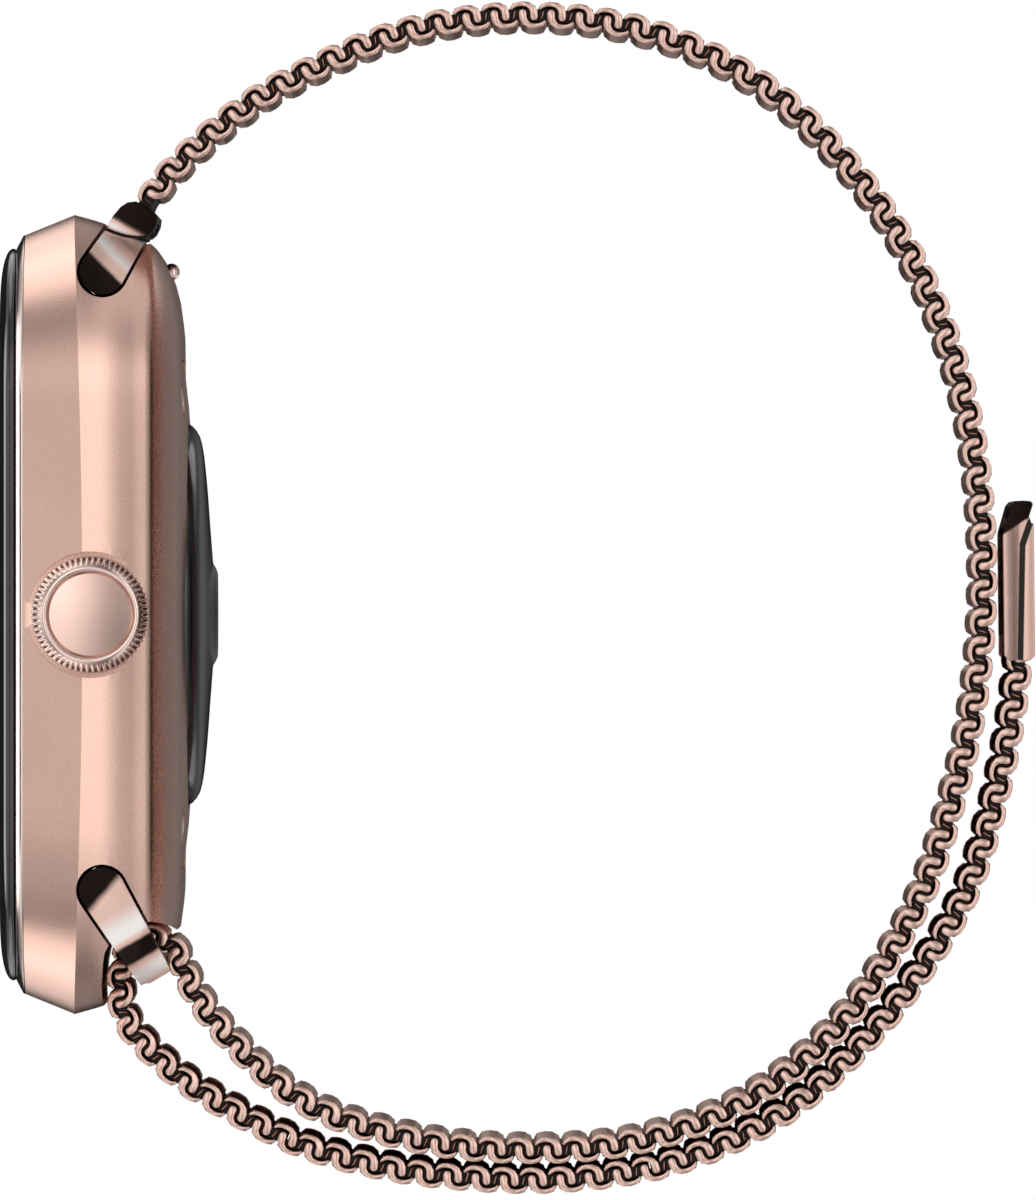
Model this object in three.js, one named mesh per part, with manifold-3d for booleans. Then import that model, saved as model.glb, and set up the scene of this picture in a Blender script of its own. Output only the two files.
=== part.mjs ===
// Smartwatch with a woven metal loop band, closed by a magnetic clasp.
//
// Millimetres. +Z runs to 12 o'clock, +X to the crown side and -Y out of the display. The origin is the
// middle of the raised spot on the sensor dome, which rests on the wrist.

import * as THREE from 'three';
import { mergeVertices } from 'three/addons/utils/BufferGeometryUtils.js';
import Module from 'manifold-3d';

// ---------------------------------------------------------------- driving dimensions

// Case: outline at its widest line, the ridge, and how far the skin draws in from it towards front and back.
const caseLength = 44;
const caseWidth = 37;
const caseCorner = 10;
const ridgeDepth = -7.8;
const ridgeBow = 0.55;
const frontDepth = -10.5;
const frontInset = 1.1;
const backProfile = [
  // [depth, inset, bow]
  [-6.1, 0.5, 0.35],
  [-3.75, 1.55, 0.1],
  [-2.95, 2.45, 0],
  [-2.4, 3.7, 0],
  [-2.1, 4.9, 0],
  [-1.9, 6.6, 0],
];
const sideWall = 1.9;
const topWall = 5.1;
const bottomWall = 9.1;
const cavityFront = -8.6;
const cavityBack = -3.4;
const displayRecess = 2.05;
const speakerSlot = { spacing: 4.2, half: 2.2, front: -6.9, back: -6.2 };

// Front: polished bezel, cover glass and display.
const bezelChamfer = 0.7;
const bezelRise = 0.45;
const bezelWidth = 1.6;
const glassFront = -11.9;
const glassThickness = 0.85;
const panelThickness = 1.2;
const seam = 0.05;

// Back: cover, sensor dome and screws.
const coverLength = 28;
const coverMargin = 2.1;
const screwInset = [2.5, 2.3];
const coverCorner = 5;
const coverDepth = -2.55;
const coverSeat = -2.8;
const domeRadius = 10.6;
const domeWall = 0.75;
const spotRadius = 2.2;
const screwHead = 0.85;
const screwShank = 0.45;
const sensorBoardMargin = 1.7;
const coilMargin = 2.2;
const coilWidth = 2.3;

// Crown, on the +X side.
const crownDepth = -6.8;
const crownRadius = 3.24;
const capRadius = 2.38;
const crownProud = 1.8;
const crownHeight = 2.3;
const crownTravel = 0.35;
const stemRadius = 0.85;
const bushRadius = 1.5;
const switchInset = 5.3;
const switchDepth = 2.6;

// Band lugs: a bulb that slides into a channel across each end of the case, leaning towards the wrist.
const lugBulb = 1.3;
const lugDepth = -6.18;
const lugGap = 0.12;
const lugSegments = 14;
const topLug = { fromEnd: 3.2, lean: 30, reach: 2.46, throat: 1.16, up: 1 };
const loopLug = { fromEnd: 6.9, lean: 30.5, reach: 5.75, throat: 1.0, up: -1 };
const loopBar = 0.55;
const loopBarReach = 5.0;
const foldSlack = 0.32;
const pinRadius = 0.32;
const pinReach = 3.2;
const knuckleWidth = 6;
const latchHalfLength = 2.4;
const latchHalfWidth = 0.45;
const latchThickness = 0.25;
const nubRadius = 0.24;

// Band release buttons, in the back of the case.
const buttonRadius = 0.5;
const buttonBore = 1.2;
const buttonStem = 0.24;
const topButton = { surface: -2.62, fromEnd: 3.05, lean: 10, proud: 0.5, up: 1 };
const loopButton = { surface: -1.92, fromEnd: 6.95, lean: 0, proud: 0.05, up: -1 };

// Band: woven mesh strand, clasp and the way round the wrist.
const bandWidth = 20;
const bandThickness = 1.5;
const rowPitch = 1.56;
const strandGap = 0.13;
const cutGap = 0.3;
const loopReach = 42.25;
const claspLength = 9;
const claspThickness = 1.7;
const claspWidth = 20.6;

// Centre line of the strand round the wrist, [depth, height], from behind the end link to the loop, drawn
// for one case length and one reach to the far side of the wrist; other sizes stretch it.
const drawnFor = { caseLength: 44, loopReach: 42.25 };
const wristLine = [
  [-3.1, 23.75], [-1.0, 25.9], [1.6, 28.0], [4.5, 29.7], [10.6, 32.2], [17.3, 33.0], [23.9, 32.1],
  [29.9, 29.3], [34.7, 24.9], [38.3, 19.7], [40.6, 14.2], [41.8, 8.8], [42.25, 2.1], [41.8, -4.4],
  [40.7, -9.7], [38.6, -16.0], [34.6, -22.3], [29.5, -26.6], [23.6, -28.9], [17.3, -29.5],
  [10.9, -28.9], [4.9, -26.9], [0.3, -22.9], [-1.5, -20.3],
];
// Where the tail leaves the strand under it, [row of that strand, counted from the loop, extra distance].
const tailLift = [
  [3, 1.9], [5.2, 1.1], [7.6, 0.5], [10, 0.25], [12.5, 0.05], [16, 0], [20, 0], [24, 0], [28, 0.02],
  [31, 0.3], [33.5, 0.6], [37, 0.62], [41, 0.55], [44, 0.42], [47, 0.4],
];
// Rows at which the strand and the tail bend, counted from the end link and from the fold.
const strandHinges = [26, 44, 56];
const tailHinges = [2.5, 9, 15.5, 22, 28.5, 35];

// ---------------------------------------------------------------- finishes

const roseMatte = { color: 0xb58a80, roughness: 0.55, metalness: 1 };
const rosePolished = { color: 0xe3bcae, roughness: 0.12, metalness: 1 };
const roseMesh = { color: 0xd0a294, roughness: 0.35, metalness: 1 };
const steel = { color: 0xb9bcc0, roughness: 0.3, metalness: 1 };
const blackGlass = { color: 0x08090b, roughness: 0.06, metalness: 0 };
const blackPlastic = { color: 0x1a1b1d, roughness: 0.5, metalness: 0 };
const rubber = { color: 0x222222, roughness: 0.8, metalness: 0 };
const boardGreen = { color: 0x1d4a34, roughness: 0.6, metalness: 0 };
const copper = { color: 0xb8733a, roughness: 0.4, metalness: 1 };
const batteryGrey = { color: 0x5b5e63, roughness: 0.5, metalness: 0.2 };

// ---------------------------------------------------------------- solids

const wasm = await Module();
wasm.setup();
const watch = new THREE.Group();
const crownFace = caseWidth / 2 + crownProud;
const switchFace = caseWidth / 2 - switchInset;
const coverWidth = 2 * (domeRadius + coverMargin);
const farOut = caseWidth / 2 + 6;
const ACROSS = new THREE.Matrix4().makeBasis(
  new THREE.Vector3(0, 1, 0), new THREE.Vector3(0, 0, 1), new THREE.Vector3(1, 0, 0));
const FLAT = new THREE.Matrix4().makeBasis(
  new THREE.Vector3(1, 0, 0), new THREE.Vector3(0, 0, 1), new THREE.Vector3(0, -1, 0));

/** Closed three.js geometry as a solid that can be cut and joined. */
function solid(geometry) {
  const bare = geometry.clone();
  for (const name of ['normal', 'uv']) bare.deleteAttribute(name);
  const merged = mergeVertices(bare, 1e-5);
  return new wasm.Manifold(new wasm.Mesh({
    numProp: 3,
    vertProperties: new Float32Array(merged.attributes.position.array),
    triVerts: new Uint32Array(merged.index.array),
  }));
}

/** Solid back as a three.js geometry. */
function geometryOf(body) {
  const { vertProperties, triVerts } = body.getMesh();
  const geometry = new THREE.BufferGeometry();
  geometry.setAttribute('position', new THREE.BufferAttribute(new Float32Array(vertProperties), 3));
  geometry.setIndex(new THREE.BufferAttribute(new Uint32Array(triVerts), 1));
  return geometry;
}

/** Adds a named piece, from a geometry or a solid, to a group. */
function piece(name, shape, finish, group = watch) {
  const geometry = shape.isBufferGeometry ? shape : geometryOf(shape);
  geometry.computeVertexNormals();
  const mesh = new THREE.Mesh(geometry, new THREE.MeshStandardMaterial(finish));
  mesh.name = name;
  group.add(mesh);
  return mesh;
}

/** Outline in depth and height, extruded across the watch between two x values. */
function across(outline, x0, x1) {
  const shape = new THREE.Shape(outline.map(([y, z]) => new THREE.Vector2(y, z)));
  return new THREE.ExtrudeGeometry(shape, { depth: x1 - x0, bevelEnabled: false })
    .applyMatrix4(ACROSS).translate(x0, 0, 0);
}

/** Outline in x and z, as a plate between two depths, the first nearer the display. */
function plate(outline, front, back) {
  const shape = new THREE.Shape(outline.map(([x, z]) => new THREE.Vector2(x, z)));
  return new THREE.ExtrudeGeometry(shape, { depth: back - front, bevelEnabled: false })
    .applyMatrix4(FLAT).translate(0, back, 0);
}

/** Box between two corners. */
function block([x0, y0, z0], [x1, y1, z1]) {
  return new THREE.BoxGeometry(x1 - x0, y1 - y0, z1 - z0)
    .translate((x0 + x1) / 2, (y0 + y1) / 2, (z0 + z1) / 2);
}

/** Box whose four upright edges are rounded, lying in a plane of equal depth. */
function softBlock([x0, y0, z0], [x1, y1, z1], radius = 0.8) {
  const outline = roundedRectangle((x1 - x0) / 2, (z1 - z0) / 2, radius, 3)
    .map(([x, z]) => [x + (x0 + x1) / 2, z + (z0 + z1) / 2]);
  return plate(outline, y0, y1);
}

/** Rounded rectangle, counter-clockwise, with extra points along its two long sides so that they can bow. */
function roundedRectangle(halfX, halfZ, radius, segments = 6, extra = 0) {
  const r = Math.min(radius, halfX, halfZ);
  const centres = [[1, 1], [-1, 1], [-1, -1], [1, -1]];
  const points = [];
  centres.forEach(([sx, sz], corner) => {
    for (let i = 0; i <= segments; i += 1) {
      const angle = (corner + i / segments) * Math.PI / 2;
      points.push([sx * (halfX - r) + r * Math.cos(angle), sz * (halfZ - r) + r * Math.sin(angle)]);
    }
    const side = corner === 1 ? -1 : 1;
    const isLongSide = corner === 1 || corner === 3;
    for (let i = 1; isLongSide && i <= extra; i += 1) {
      points.push([side * halfX, side * (halfZ - r) * (2 * i / (extra + 1) - 1)]);
    }
  });
  return points;
}

/** Skin through rings of equally many [x, y, z] points, capped at both ends or closed on itself. */
function loft(rings, closed = false) {
  const count = rings[0].length;
  const index = [];
  const links = closed ? rings.length : rings.length - 1;
  for (let k = 0; k < links; k += 1) {
    const a = k * count;
    const b = ((k + 1) % rings.length) * count;
    for (let i = 0; i < count; i += 1) {
      const j = (i + 1) % count;
      index.push(a + i, b + i, a + j, a + j, b + i, b + j);
    }
  }
  const last = (rings.length - 1) * count;
  for (let i = 1; !closed && i < count - 1; i += 1) {
    index.push(0, i, i + 1, last, last + i + 1, last + i);
  }
  const geometry = new THREE.BufferGeometry();
  geometry.setAttribute('position', new THREE.Float32BufferAttribute(rings.flat(2), 3));
  geometry.setIndex(index);
  return geometry;
}

/** Ring of the case's own outline at a depth, drawn in by an inset; a bow lifts it at mid side. */
function caseRing(depth, inset, bow = 0, corner = caseCorner) {
  const halfZ = caseLength / 2 - inset;
  return roundedRectangle(caseWidth / 2 - inset, halfZ, Math.max(corner - inset, 2), 6, 3)
    .map(([x, z]) => [x, depth + bow * (1 - (z / halfZ) ** 2), z]);
}

/** Ring of any centred rounded rectangle at a depth. */
function ring(halfX, halfZ, radius, depth, middleZ = 0) {
  return roundedRectangle(halfX, halfZ, radius).map(([x, z]) => [x, depth, z + middleZ]);
}

/** Turned piece about an axis along X at a depth; profile is [radius, x], x rising. */
function turnedX(profile, segments, depth = crownDepth, height = 0) {
  return new THREE.LatheGeometry(profile.map(([r, x]) => new THREE.Vector2(r, x)), segments)
    .rotateZ(-Math.PI / 2).translate(0, depth, height);
}

/** Turned piece about an axis along Y; profile is [radius, depth], depth rising. */
function turnedY(profile, segments, x = 0, z = 0) {
  return new THREE.LatheGeometry(profile.map(([r, y]) => new THREE.Vector2(r, y)), segments)
    .translate(x, 0, z);
}

/** Solid rod between two stations on its axis, along X. */
function rodX(radius, x0, x1, depth, height, segments = 20) {
  return turnedX([[0, x0], [radius, x0], [radius, x1], [0, x1]], segments, depth, height);
}

/** Round wire wound into a spring about Y, then turned by a placing function. */
function springY(radius, wire, from, to, turns) {
  const steps = turns * 10;
  const points = Array.from({ length: steps + 1 }, (_, i) => {
    const angle = 2 * Math.PI * turns * i / steps;
    const rise = from + wire + (to - from - 2 * wire) * i / steps;
    return new THREE.Vector3(radius * Math.cos(angle), rise, radius * Math.sin(angle));
  });
  const section = new THREE.Shape(Array.from({ length: 5 }, (_, i) => new THREE.Vector2(
    wire * Math.cos(i * Math.PI / 2.5), wire * Math.sin(i * Math.PI / 2.5))));
  return new THREE.ExtrudeGeometry(section, {
    steps, bevelEnabled: false, extrudePath: new THREE.CatmullRomCurve3(points),
  });
}

// ---------------------------------------------------------------- band lugs

const radians = THREE.MathUtils.degToRad;

/** Point of a lug's own frame, along its lean and across it, in depth and height. */
function lugPoint(lug, along, side = 0) {
  const lean = radians(lug.lean);
  const centre = lug.up * (caseLength / 2 - lug.fromEnd);
  return [
    lugDepth + along * Math.sin(lean) + side * Math.cos(lean),
    centre + lug.up * (along * Math.cos(lean) - side * Math.sin(lean)),
  ];
}

/** Outline of a lug: a round bulb drawn out to a narrower throat, grown by a gap. */
function lugOutline(lug, grow = 0, reach = lug.reach) {
  const radius = lugBulb + grow;
  const points = [];
  for (let i = 0; i <= lugSegments; i += 1) {
    const angle = Math.PI / 2 + Math.PI * i / lugSegments;
    points.push([radius * Math.cos(angle), radius * Math.sin(angle)]);
  }
  points.push([lug.reach, -lug.throat - grow], [reach, -lug.throat - grow]);
  points.push([reach, lug.throat + grow], [lug.reach, lug.throat + grow]);
  const unique = reach === lug.reach ? points.filter((_, i) => i !== lugSegments + 2 && i !== lugSegments + 4)
    : points;
  return unique.map(([along, side]) => lugPoint(lug, along, side));
}

/** Round outline in depth and height. */
function circle([y, z], radius, segments = 16) {
  return Array.from({ length: segments }, (_, i) => {
    const angle = 2 * Math.PI * i / segments;
    return [y + radius * Math.cos(angle), z + radius * Math.sin(angle)];
  });
}

// ---------------------------------------------------------------- the strand's way

const scaleY = loopReach / drawnFor.loopReach;
const scaleZ = caseLength / drawnFor.caseLength;
const foldRadius = loopBar + foldSlack + bandThickness / 2;
const barCentre = lugPoint(loopLug, loopBarReach);

/** Curve through [depth, height] points, measured finely along its length. */
function wayThrough(points) {
  const stations = points.map(([y, z]) => new THREE.Vector3(0, y, z));
  const way = new THREE.CatmullRomCurve3(stations, false, 'centripetal');
  way.arcLengthDivisions = 1200;
  return way;
}

/** Point of a way at a distance from its start, moved outwards from the wrist by an offset. */
function wayPoint(way, distance, offset = 0) {
  const share = THREE.MathUtils.clamp(distance / way.getLength(), 0, 1);
  const point = way.getPointAt(share);
  const tangent = way.getTangentAt(share);
  return [point.y - offset * tangent.z, point.z + offset * tangent.y];
}

const strandStart = lugPoint(topLug, 4.62, 0.12);
const aroundWrist = wristLine.map(([y, z]) => [y * scaleY, z * scaleZ]);
const fold = [20, 55, 90, 125, 160, 185].map((degrees) => [
  barCentre[0] + foldRadius * Math.cos(radians(degrees)),
  barCentre[1] + foldRadius * Math.sin(radians(degrees)),
]);
const strandWay = wayThrough([strandStart, ...aroundWrist, fold[0]]);
const strandLength = strandWay.getLength();
const dropLine = [
  [fold[5][0] - 0.05, barCentre[1] - 1.5],
  [fold[5][0] + 0.35, barCentre[1] - 3.1],
];
const tailPoints = tailLift.map(([row, lift]) => wayPoint(
  strandWay, strandLength - row * rowPitch, bandThickness + strandGap + lift));
const bandWay = wayThrough([strandStart, ...aroundWrist, ...fold, ...dropLine, ...tailPoints]);
const bandLength = bandWay.getLength();
const foldEnd = strandLength + foldRadius * radians(165);

/** Outline of the strand between two distances along it, as thick as the mesh. */
function strandOutline(from, to, step, thickness = bandThickness) {
  const count = Math.max(2, Math.round((to - from) / step));
  const outer = [];
  const inner = [];
  for (let i = 0; i <= count; i += 1) {
    const distance = from + (to - from) * i / count;
    outer.push(wayPoint(bandWay, distance, thickness / 2));
    inner.unshift(wayPoint(bandWay, distance, -thickness / 2));
  }
  return [...outer, ...inner].reverse();
}

// ---------------------------------------------------------------- case

/** Release button axis: a function that places turned pieces, and points along it. */
function buttonAxis(button) {
  const height = button.up * (caseLength / 2 - button.fromEnd);
  const lean = button.up * radians(button.lean);
  return (geometry) => geometry.rotateX(lean).translate(0, button.surface, height);
}

/** Distance from a button's surface down its axis to the wall of the lug channel. */
function channelDistance(button, lug) {
  const centre = lugPoint(lug, 0);
  const height = button.up * (caseLength / 2 - button.fromEnd);
  const turn = radians(button.lean);
  const inLug = (y, z) => {
    const lean = radians(lug.lean);
    const out = lug.up * (z - centre[1]);
    const back = y - centre[0];
    return [back * Math.sin(lean) + out * Math.cos(lean), back * Math.cos(lean) - out * Math.sin(lean)];
  };
  const [along, side] = inLug(button.surface, height);
  const [nextAlong, nextSide] = inLug(button.surface - Math.cos(turn), height - button.up * Math.sin(turn));
  const [stepAlong, stepSide] = [nextAlong - along, nextSide - side];
  const radius = lugBulb + lugGap;
  const taper = (lugBulb - lug.throat) / lug.reach;
  const toWall = (radius - side - taper * along) / (stepSide + taper * stepAlong);
  if (along + toWall * stepAlong >= 0) return toWall;
  const half = along * stepAlong + side * stepSide;
  return -half - Math.sqrt(half ** 2 - along ** 2 - side ** 2 + radius ** 2);
}

const screwPlaces = [[1, 1], [-1, 1], [-1, -1], [1, -1]]
  .map(([sx, sz]) => [sx * (coverWidth / 2 - screwInset[0]), sz * (coverLength / 2 - screwInset[1])]);

/** Case shell: one block of metal, hollowed, with a channel across each end for the band. */
function caseBody() {
  const outer = loft([
    caseRing(frontDepth, frontInset),
    caseRing(ridgeDepth, 0, ridgeBow),
    ...backProfile.map(([depth, inset, bow]) => caseRing(depth, inset, bow)),
  ]);
  const recess = loft([
    caseRing(frontDepth - 1, displayRecess), caseRing(cavityFront, displayRecess),
  ]);
  const middleZ = (bottomWall - topWall) / 2;
  const halfZ = (caseLength - topWall - bottomWall) / 2;
  const halfX = caseWidth / 2 - sideWall;
  const cavity = loft([
    ring(halfX, halfZ, 4, cavityFront - 0.5, middleZ),
    ring(halfX - 0.1, halfZ, 4, -5.9, middleZ),
    ring(halfX - 1.9, halfZ, 4, cavityBack, middleZ),
  ]);
  const coverRecess = plate(roundedRectangle(
    coverWidth / 2 + 0.08, coverLength / 2 + 0.08, coverCorner), coverSeat, 0);
  const sensorWindow = turnedY([[0, cavityBack - 1], [domeRadius - 0.6, cavityBack - 1],
    [domeRadius - 0.6, 0], [0, 0]], 40);
  const topChannel = across(lugOutline(topLug, lugGap, topLug.reach + 4), -farOut, farOut);
  const loopChannel = across(lugOutline(loopLug, lugGap, loopLug.reach + 4), -farOut, farOut);
  const linkClearance = across(circle(lugPoint(topLug, 3.5), 1.62), -farOut, farOut);
  const mouth = across(strandOutline(strandLength - 3.2, foldEnd + 4.5, 0.5,
    bandThickness + 2 * strandGap + 0.15), -farOut, farOut);
  const betweenLegs = across([
    wayPoint(bandWay, strandLength - 3.2), wayPoint(bandWay, strandLength), fold[1], fold[2], fold[3],
    fold[4], fold[5], wayPoint(bandWay, foldEnd + 4.5),
  ].reverse(), -farOut, farOut);
  const crownBore = rodX(bushRadius + 0.06, switchFace - 3, farOut, crownDepth, 0, 28);
  const sinkFloor = crownFace - crownHeight - crownTravel - 0.15;
  const crownSink = rodX(crownRadius + 0.22, sinkFloor, farOut, crownDepth, 0, 40);
  let body = solid(outer).subtract(solid(recess)).subtract(solid(cavity));
  body = body.subtract(solid(coverRecess)).subtract(solid(sensorWindow));
  body = body.subtract(solid(topChannel)).subtract(solid(linkClearance)).subtract(solid(loopChannel));
  body = body.subtract(solid(mouth)).subtract(solid(betweenLegs));
  body = body.subtract(solid(crownBore)).subtract(solid(crownSink));
  for (const [x, z] of screwPlaces) {
    body = body.subtract(solid(turnedY([[0, cavityBack - 0.3], [screwShank + 0.06, cavityBack - 0.3],
      [screwShank + 0.06, 0], [0, 0]], 12, x, z)));
  }
  for (const [button, lug] of [[topButton, topLug], [loopButton, loopLug]]) {
    const reach = channelDistance(button, lug) + 0.5;
    body = body.subtract(solid(buttonAxis(button)(turnedY([
      [0, -reach], [buttonStem + 0.1, -reach], [buttonStem + 0.1, -buttonBore],
      [buttonRadius + 0.1, -buttonBore], [buttonRadius + 0.1, 1], [0, 1]], 16))));
  }
  for (const middle of [-speakerSlot.spacing, speakerSlot.spacing]) {
    body = body.subtract(solid(block(
      [-farOut, speakerSlot.front, middle - speakerSlot.half],
      [-caseWidth / 2 + sideWall + 0.5, speakerSlot.back, middle + speakerSlot.half])));
  }
  return body;
}

/** Skin of the case grown or shrunk a little, to trim the lugs flush with its sides. */
function caseSkin(shrink) {
  return solid(loft([
    caseRing(frontDepth, frontInset + shrink),
    caseRing(ridgeDepth, shrink, ridgeBow),
    ...backProfile.slice(0, 2).map(([depth, inset, bow]) => caseRing(depth, inset + shrink, bow)),
    caseRing(1, 1.75 + shrink),
  ]));
}

// ---------------------------------------------------------------- front

function addFront() {
  const bezelOuter = frontInset + bezelChamfer;
  const bezelFront = frontDepth - seam - bezelRise;
  const spigotBack = -9.7;
  const inner = bezelOuter + bezelWidth;
  piece('bezel_ring', loft([
    caseRing(bezelFront, bezelOuter),
    caseRing(frontDepth - seam, frontInset),
    caseRing(frontDepth - seam, displayRecess + 0.08),
    caseRing(spigotBack, displayRecess + 0.08),
    caseRing(spigotBack, inner),
    caseRing(bezelFront, inner),
  ], true), rosePolished);
  const glassBack = bezelFront - seam;
  const edge = bezelOuter + 0.05;
  piece('cover_glass', loft([
    caseRing(glassFront, edge + 2.9),
    caseRing(glassFront + 0.06, edge + 2.0),
    caseRing(glassFront + 0.2, edge + 1.15),
    caseRing(glassFront + 0.42, edge + 0.5),
    caseRing(glassFront + 0.68, edge + 0.1),
    caseRing(glassFront + 0.78, edge),
    caseRing(Math.max(glassFront + glassThickness, glassBack), edge + 0.05),
  ]), blackGlass);
  const panelFront = glassBack + 0.07;
  const panelBack = panelFront + panelThickness;
  piece('display_gasket', loft([
    caseRing(panelFront, inner + 0.06), caseRing(panelBack - 0.2, inner + 0.06),
    caseRing(panelBack - 0.2, inner + 0.5), caseRing(panelFront, inner + 0.5),
  ], true), rubber);
  piece('display_panel', loft([
    caseRing(panelFront, inner + 0.6), caseRing(panelBack, inner + 0.6),
  ]), blackPlastic);
  const frameOutline = caseRing(0, displayRecess + 0.12).map(([x, , z]) => [x, z]);
  const midFrame = solid(plate(frameOutline, cavityFront - 0.8, cavityFront - seam))
    .subtract(solid(softBlock([-12.5, -10, -10.5], [-3, -8, 6])))
    .subtract(solid(softBlock([7, -10, 6], [12.6, -8, 13])));
  piece('mid_frame', midFrame, steel);
}

// ---------------------------------------------------------------- inside

function addInside() {
  const insideX = caseWidth / 2 - sideWall - 2.3;
  const low = -(caseLength / 2 - bottomWall) + 0.4;
  const high = caseLength / 2 - topWall - 0.4;
  const boardFront = -4.4;
  const boardBack = -3.8;
  piece('main_board', softBlock([-insideX, boardFront, low], [insideX, boardBack, high], 3.2), boardGreen);
  const stackBack = boardFront - 0.15;
  piece('battery', softBlock([-insideX, -8.3, low], [5.2, stackBack, 8], 2.2), batteryGrey);
  piece('haptic_motor', softBlock([-insideX, -8.2, 9.2], [2.2, stackBack, high], 2.2), steel);
  piece('shield_can', softBlock([4.4, -7.4, 9.2], [insideX, stackBack, high], 2.2), steel);
  const speakerBox = solid(softBlock([6.4, -8.0, low], [insideX, stackBack, -4.6], 2.2))
    .subtract(solid(softBlock([7.6, -8.5, low + 1.2], [insideX - 1.2, -7.4, -5.8], 0.8)));
  piece('speaker_module', speakerBox, blackPlastic);
  const flex = [[-9.7, 12.2], [-9.7, 11.95], [-7.55, 11.95], [-7.55, 12.2]];
  piece('display_flex', across(flex, 7.6, 11.8), copper);
}

// ---------------------------------------------------------------- back

function addBack() {
  const holeRadius = domeRadius + 0.12;
  const halfX = coverWidth / 2;
  const halfZ = coverLength / 2;
  let cover = solid(loft([
    ring(halfX, halfZ, coverCorner, coverDepth),
    ring(halfX, halfZ, coverCorner, -2.0),
    ring(halfX - 0.5, halfZ - 0.5, coverCorner - 0.5, -1.9),
    ring(halfX - 3, halfZ - 3, coverCorner - 1.5, -1.62),
  ]));
  cover = cover.subtract(solid(turnedY([[0, -4], [holeRadius, -4], [holeRadius, 0], [0, 0]], 32)));
  for (const [x, z] of screwPlaces) {
    cover = cover.subtract(solid(turnedY([[0, -4], [screwShank + 0.06, -4], [screwShank + 0.06, -2.3],
      [screwHead + 0.06, -2.3], [screwHead + 0.06, 0], [0, 0]], 16, x, z)));
  }
  piece('back_cover', cover, blackPlastic);
  const gasket = 0.6;
  piece('back_gasket', loft([
    ring(halfX - 0.1, halfZ - 0.1, coverCorner - 0.1, coverSeat + 0.03),
    ring(halfX - 0.1, halfZ - 0.1, coverCorner - 0.1, coverDepth - 0.03),
    ring(halfX - gasket, halfZ - gasket, coverCorner - gasket, coverDepth - 0.03),
    ring(halfX - gasket, halfZ - gasket, coverCorner - gasket, coverSeat + 0.03),
  ], true), rubber);
  screwPlaces.forEach(([x, z], i) => {
    const head = turnedY([[0, -3.25], [screwShank, -3.25], [screwShank, -2.24], [screwHead, -2.24],
      [screwHead, -1.98], [screwHead - 0.12, -1.86], [0, -1.86]], 16, x, z);
    const slot = block([x - 1, -2.02, z - 0.13], [x + 1, -1, z + 0.13]);
    piece(`back_screw_${i + 1}`, solid(head).subtract(solid(slot)), steel);
  });
  const inner = domeRadius - 1.2;
  piece('sensor_dome', turnedY([
    [0, -domeWall], [inner - 2, -domeWall - 0.6], [inner, -1.75], [inner, coverSeat + 0.04],
    [domeRadius, coverSeat + 0.04], [domeRadius, -1.72], [domeRadius - 0.2, -1.38],
    [domeRadius - 0.7, -1.02], [domeRadius - 1.4, -0.83], [domeRadius - 3.4, -0.6],
    [domeRadius - 5.8, -0.42], [spotRadius + 0.8, -0.28], [spotRadius + 0.35, -0.1],
    [spotRadius, 0], [0, 0],
  ], 32), blackGlass);
}

function addSensor() {
  const boardBack = -2.45;
  const board = domeRadius - sensorBoardMargin;
  const boardFront = boardBack - 0.35;
  piece('sensor_board', turnedY([[0, boardFront], [board, boardFront], [board, boardBack],
    [0, boardBack]], 32), boardGreen);
  const coilOuter = domeRadius - coilMargin;
  const coilInner = coilOuter - coilWidth;
  const coilFront = boardBack + 0.06;
  const coilBack = boardBack + 0.5;
  piece('charge_coil', turnedY([[coilInner, coilFront], [coilOuter, coilFront], [coilOuter, coilBack],
    [coilInner, coilBack], [coilInner, coilFront]], 36), copper);
  piece('sensor_led', softBlock([-1.1, boardBack + 0.06, -1.1], [1.1, -1.2, 1.1], 0.3), steel);
  for (const [name, side] of [['photodiode_left', -1], ['photodiode_right', 1]]) {
    const x = side * 3.8;
    piece(name, softBlock([x - 1.2, boardBack + 0.06, -1.5], [x + 1.2, -1.5, 1.5], 0.3), blackPlastic);
  }
}

// ---------------------------------------------------------------- crown

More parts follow.
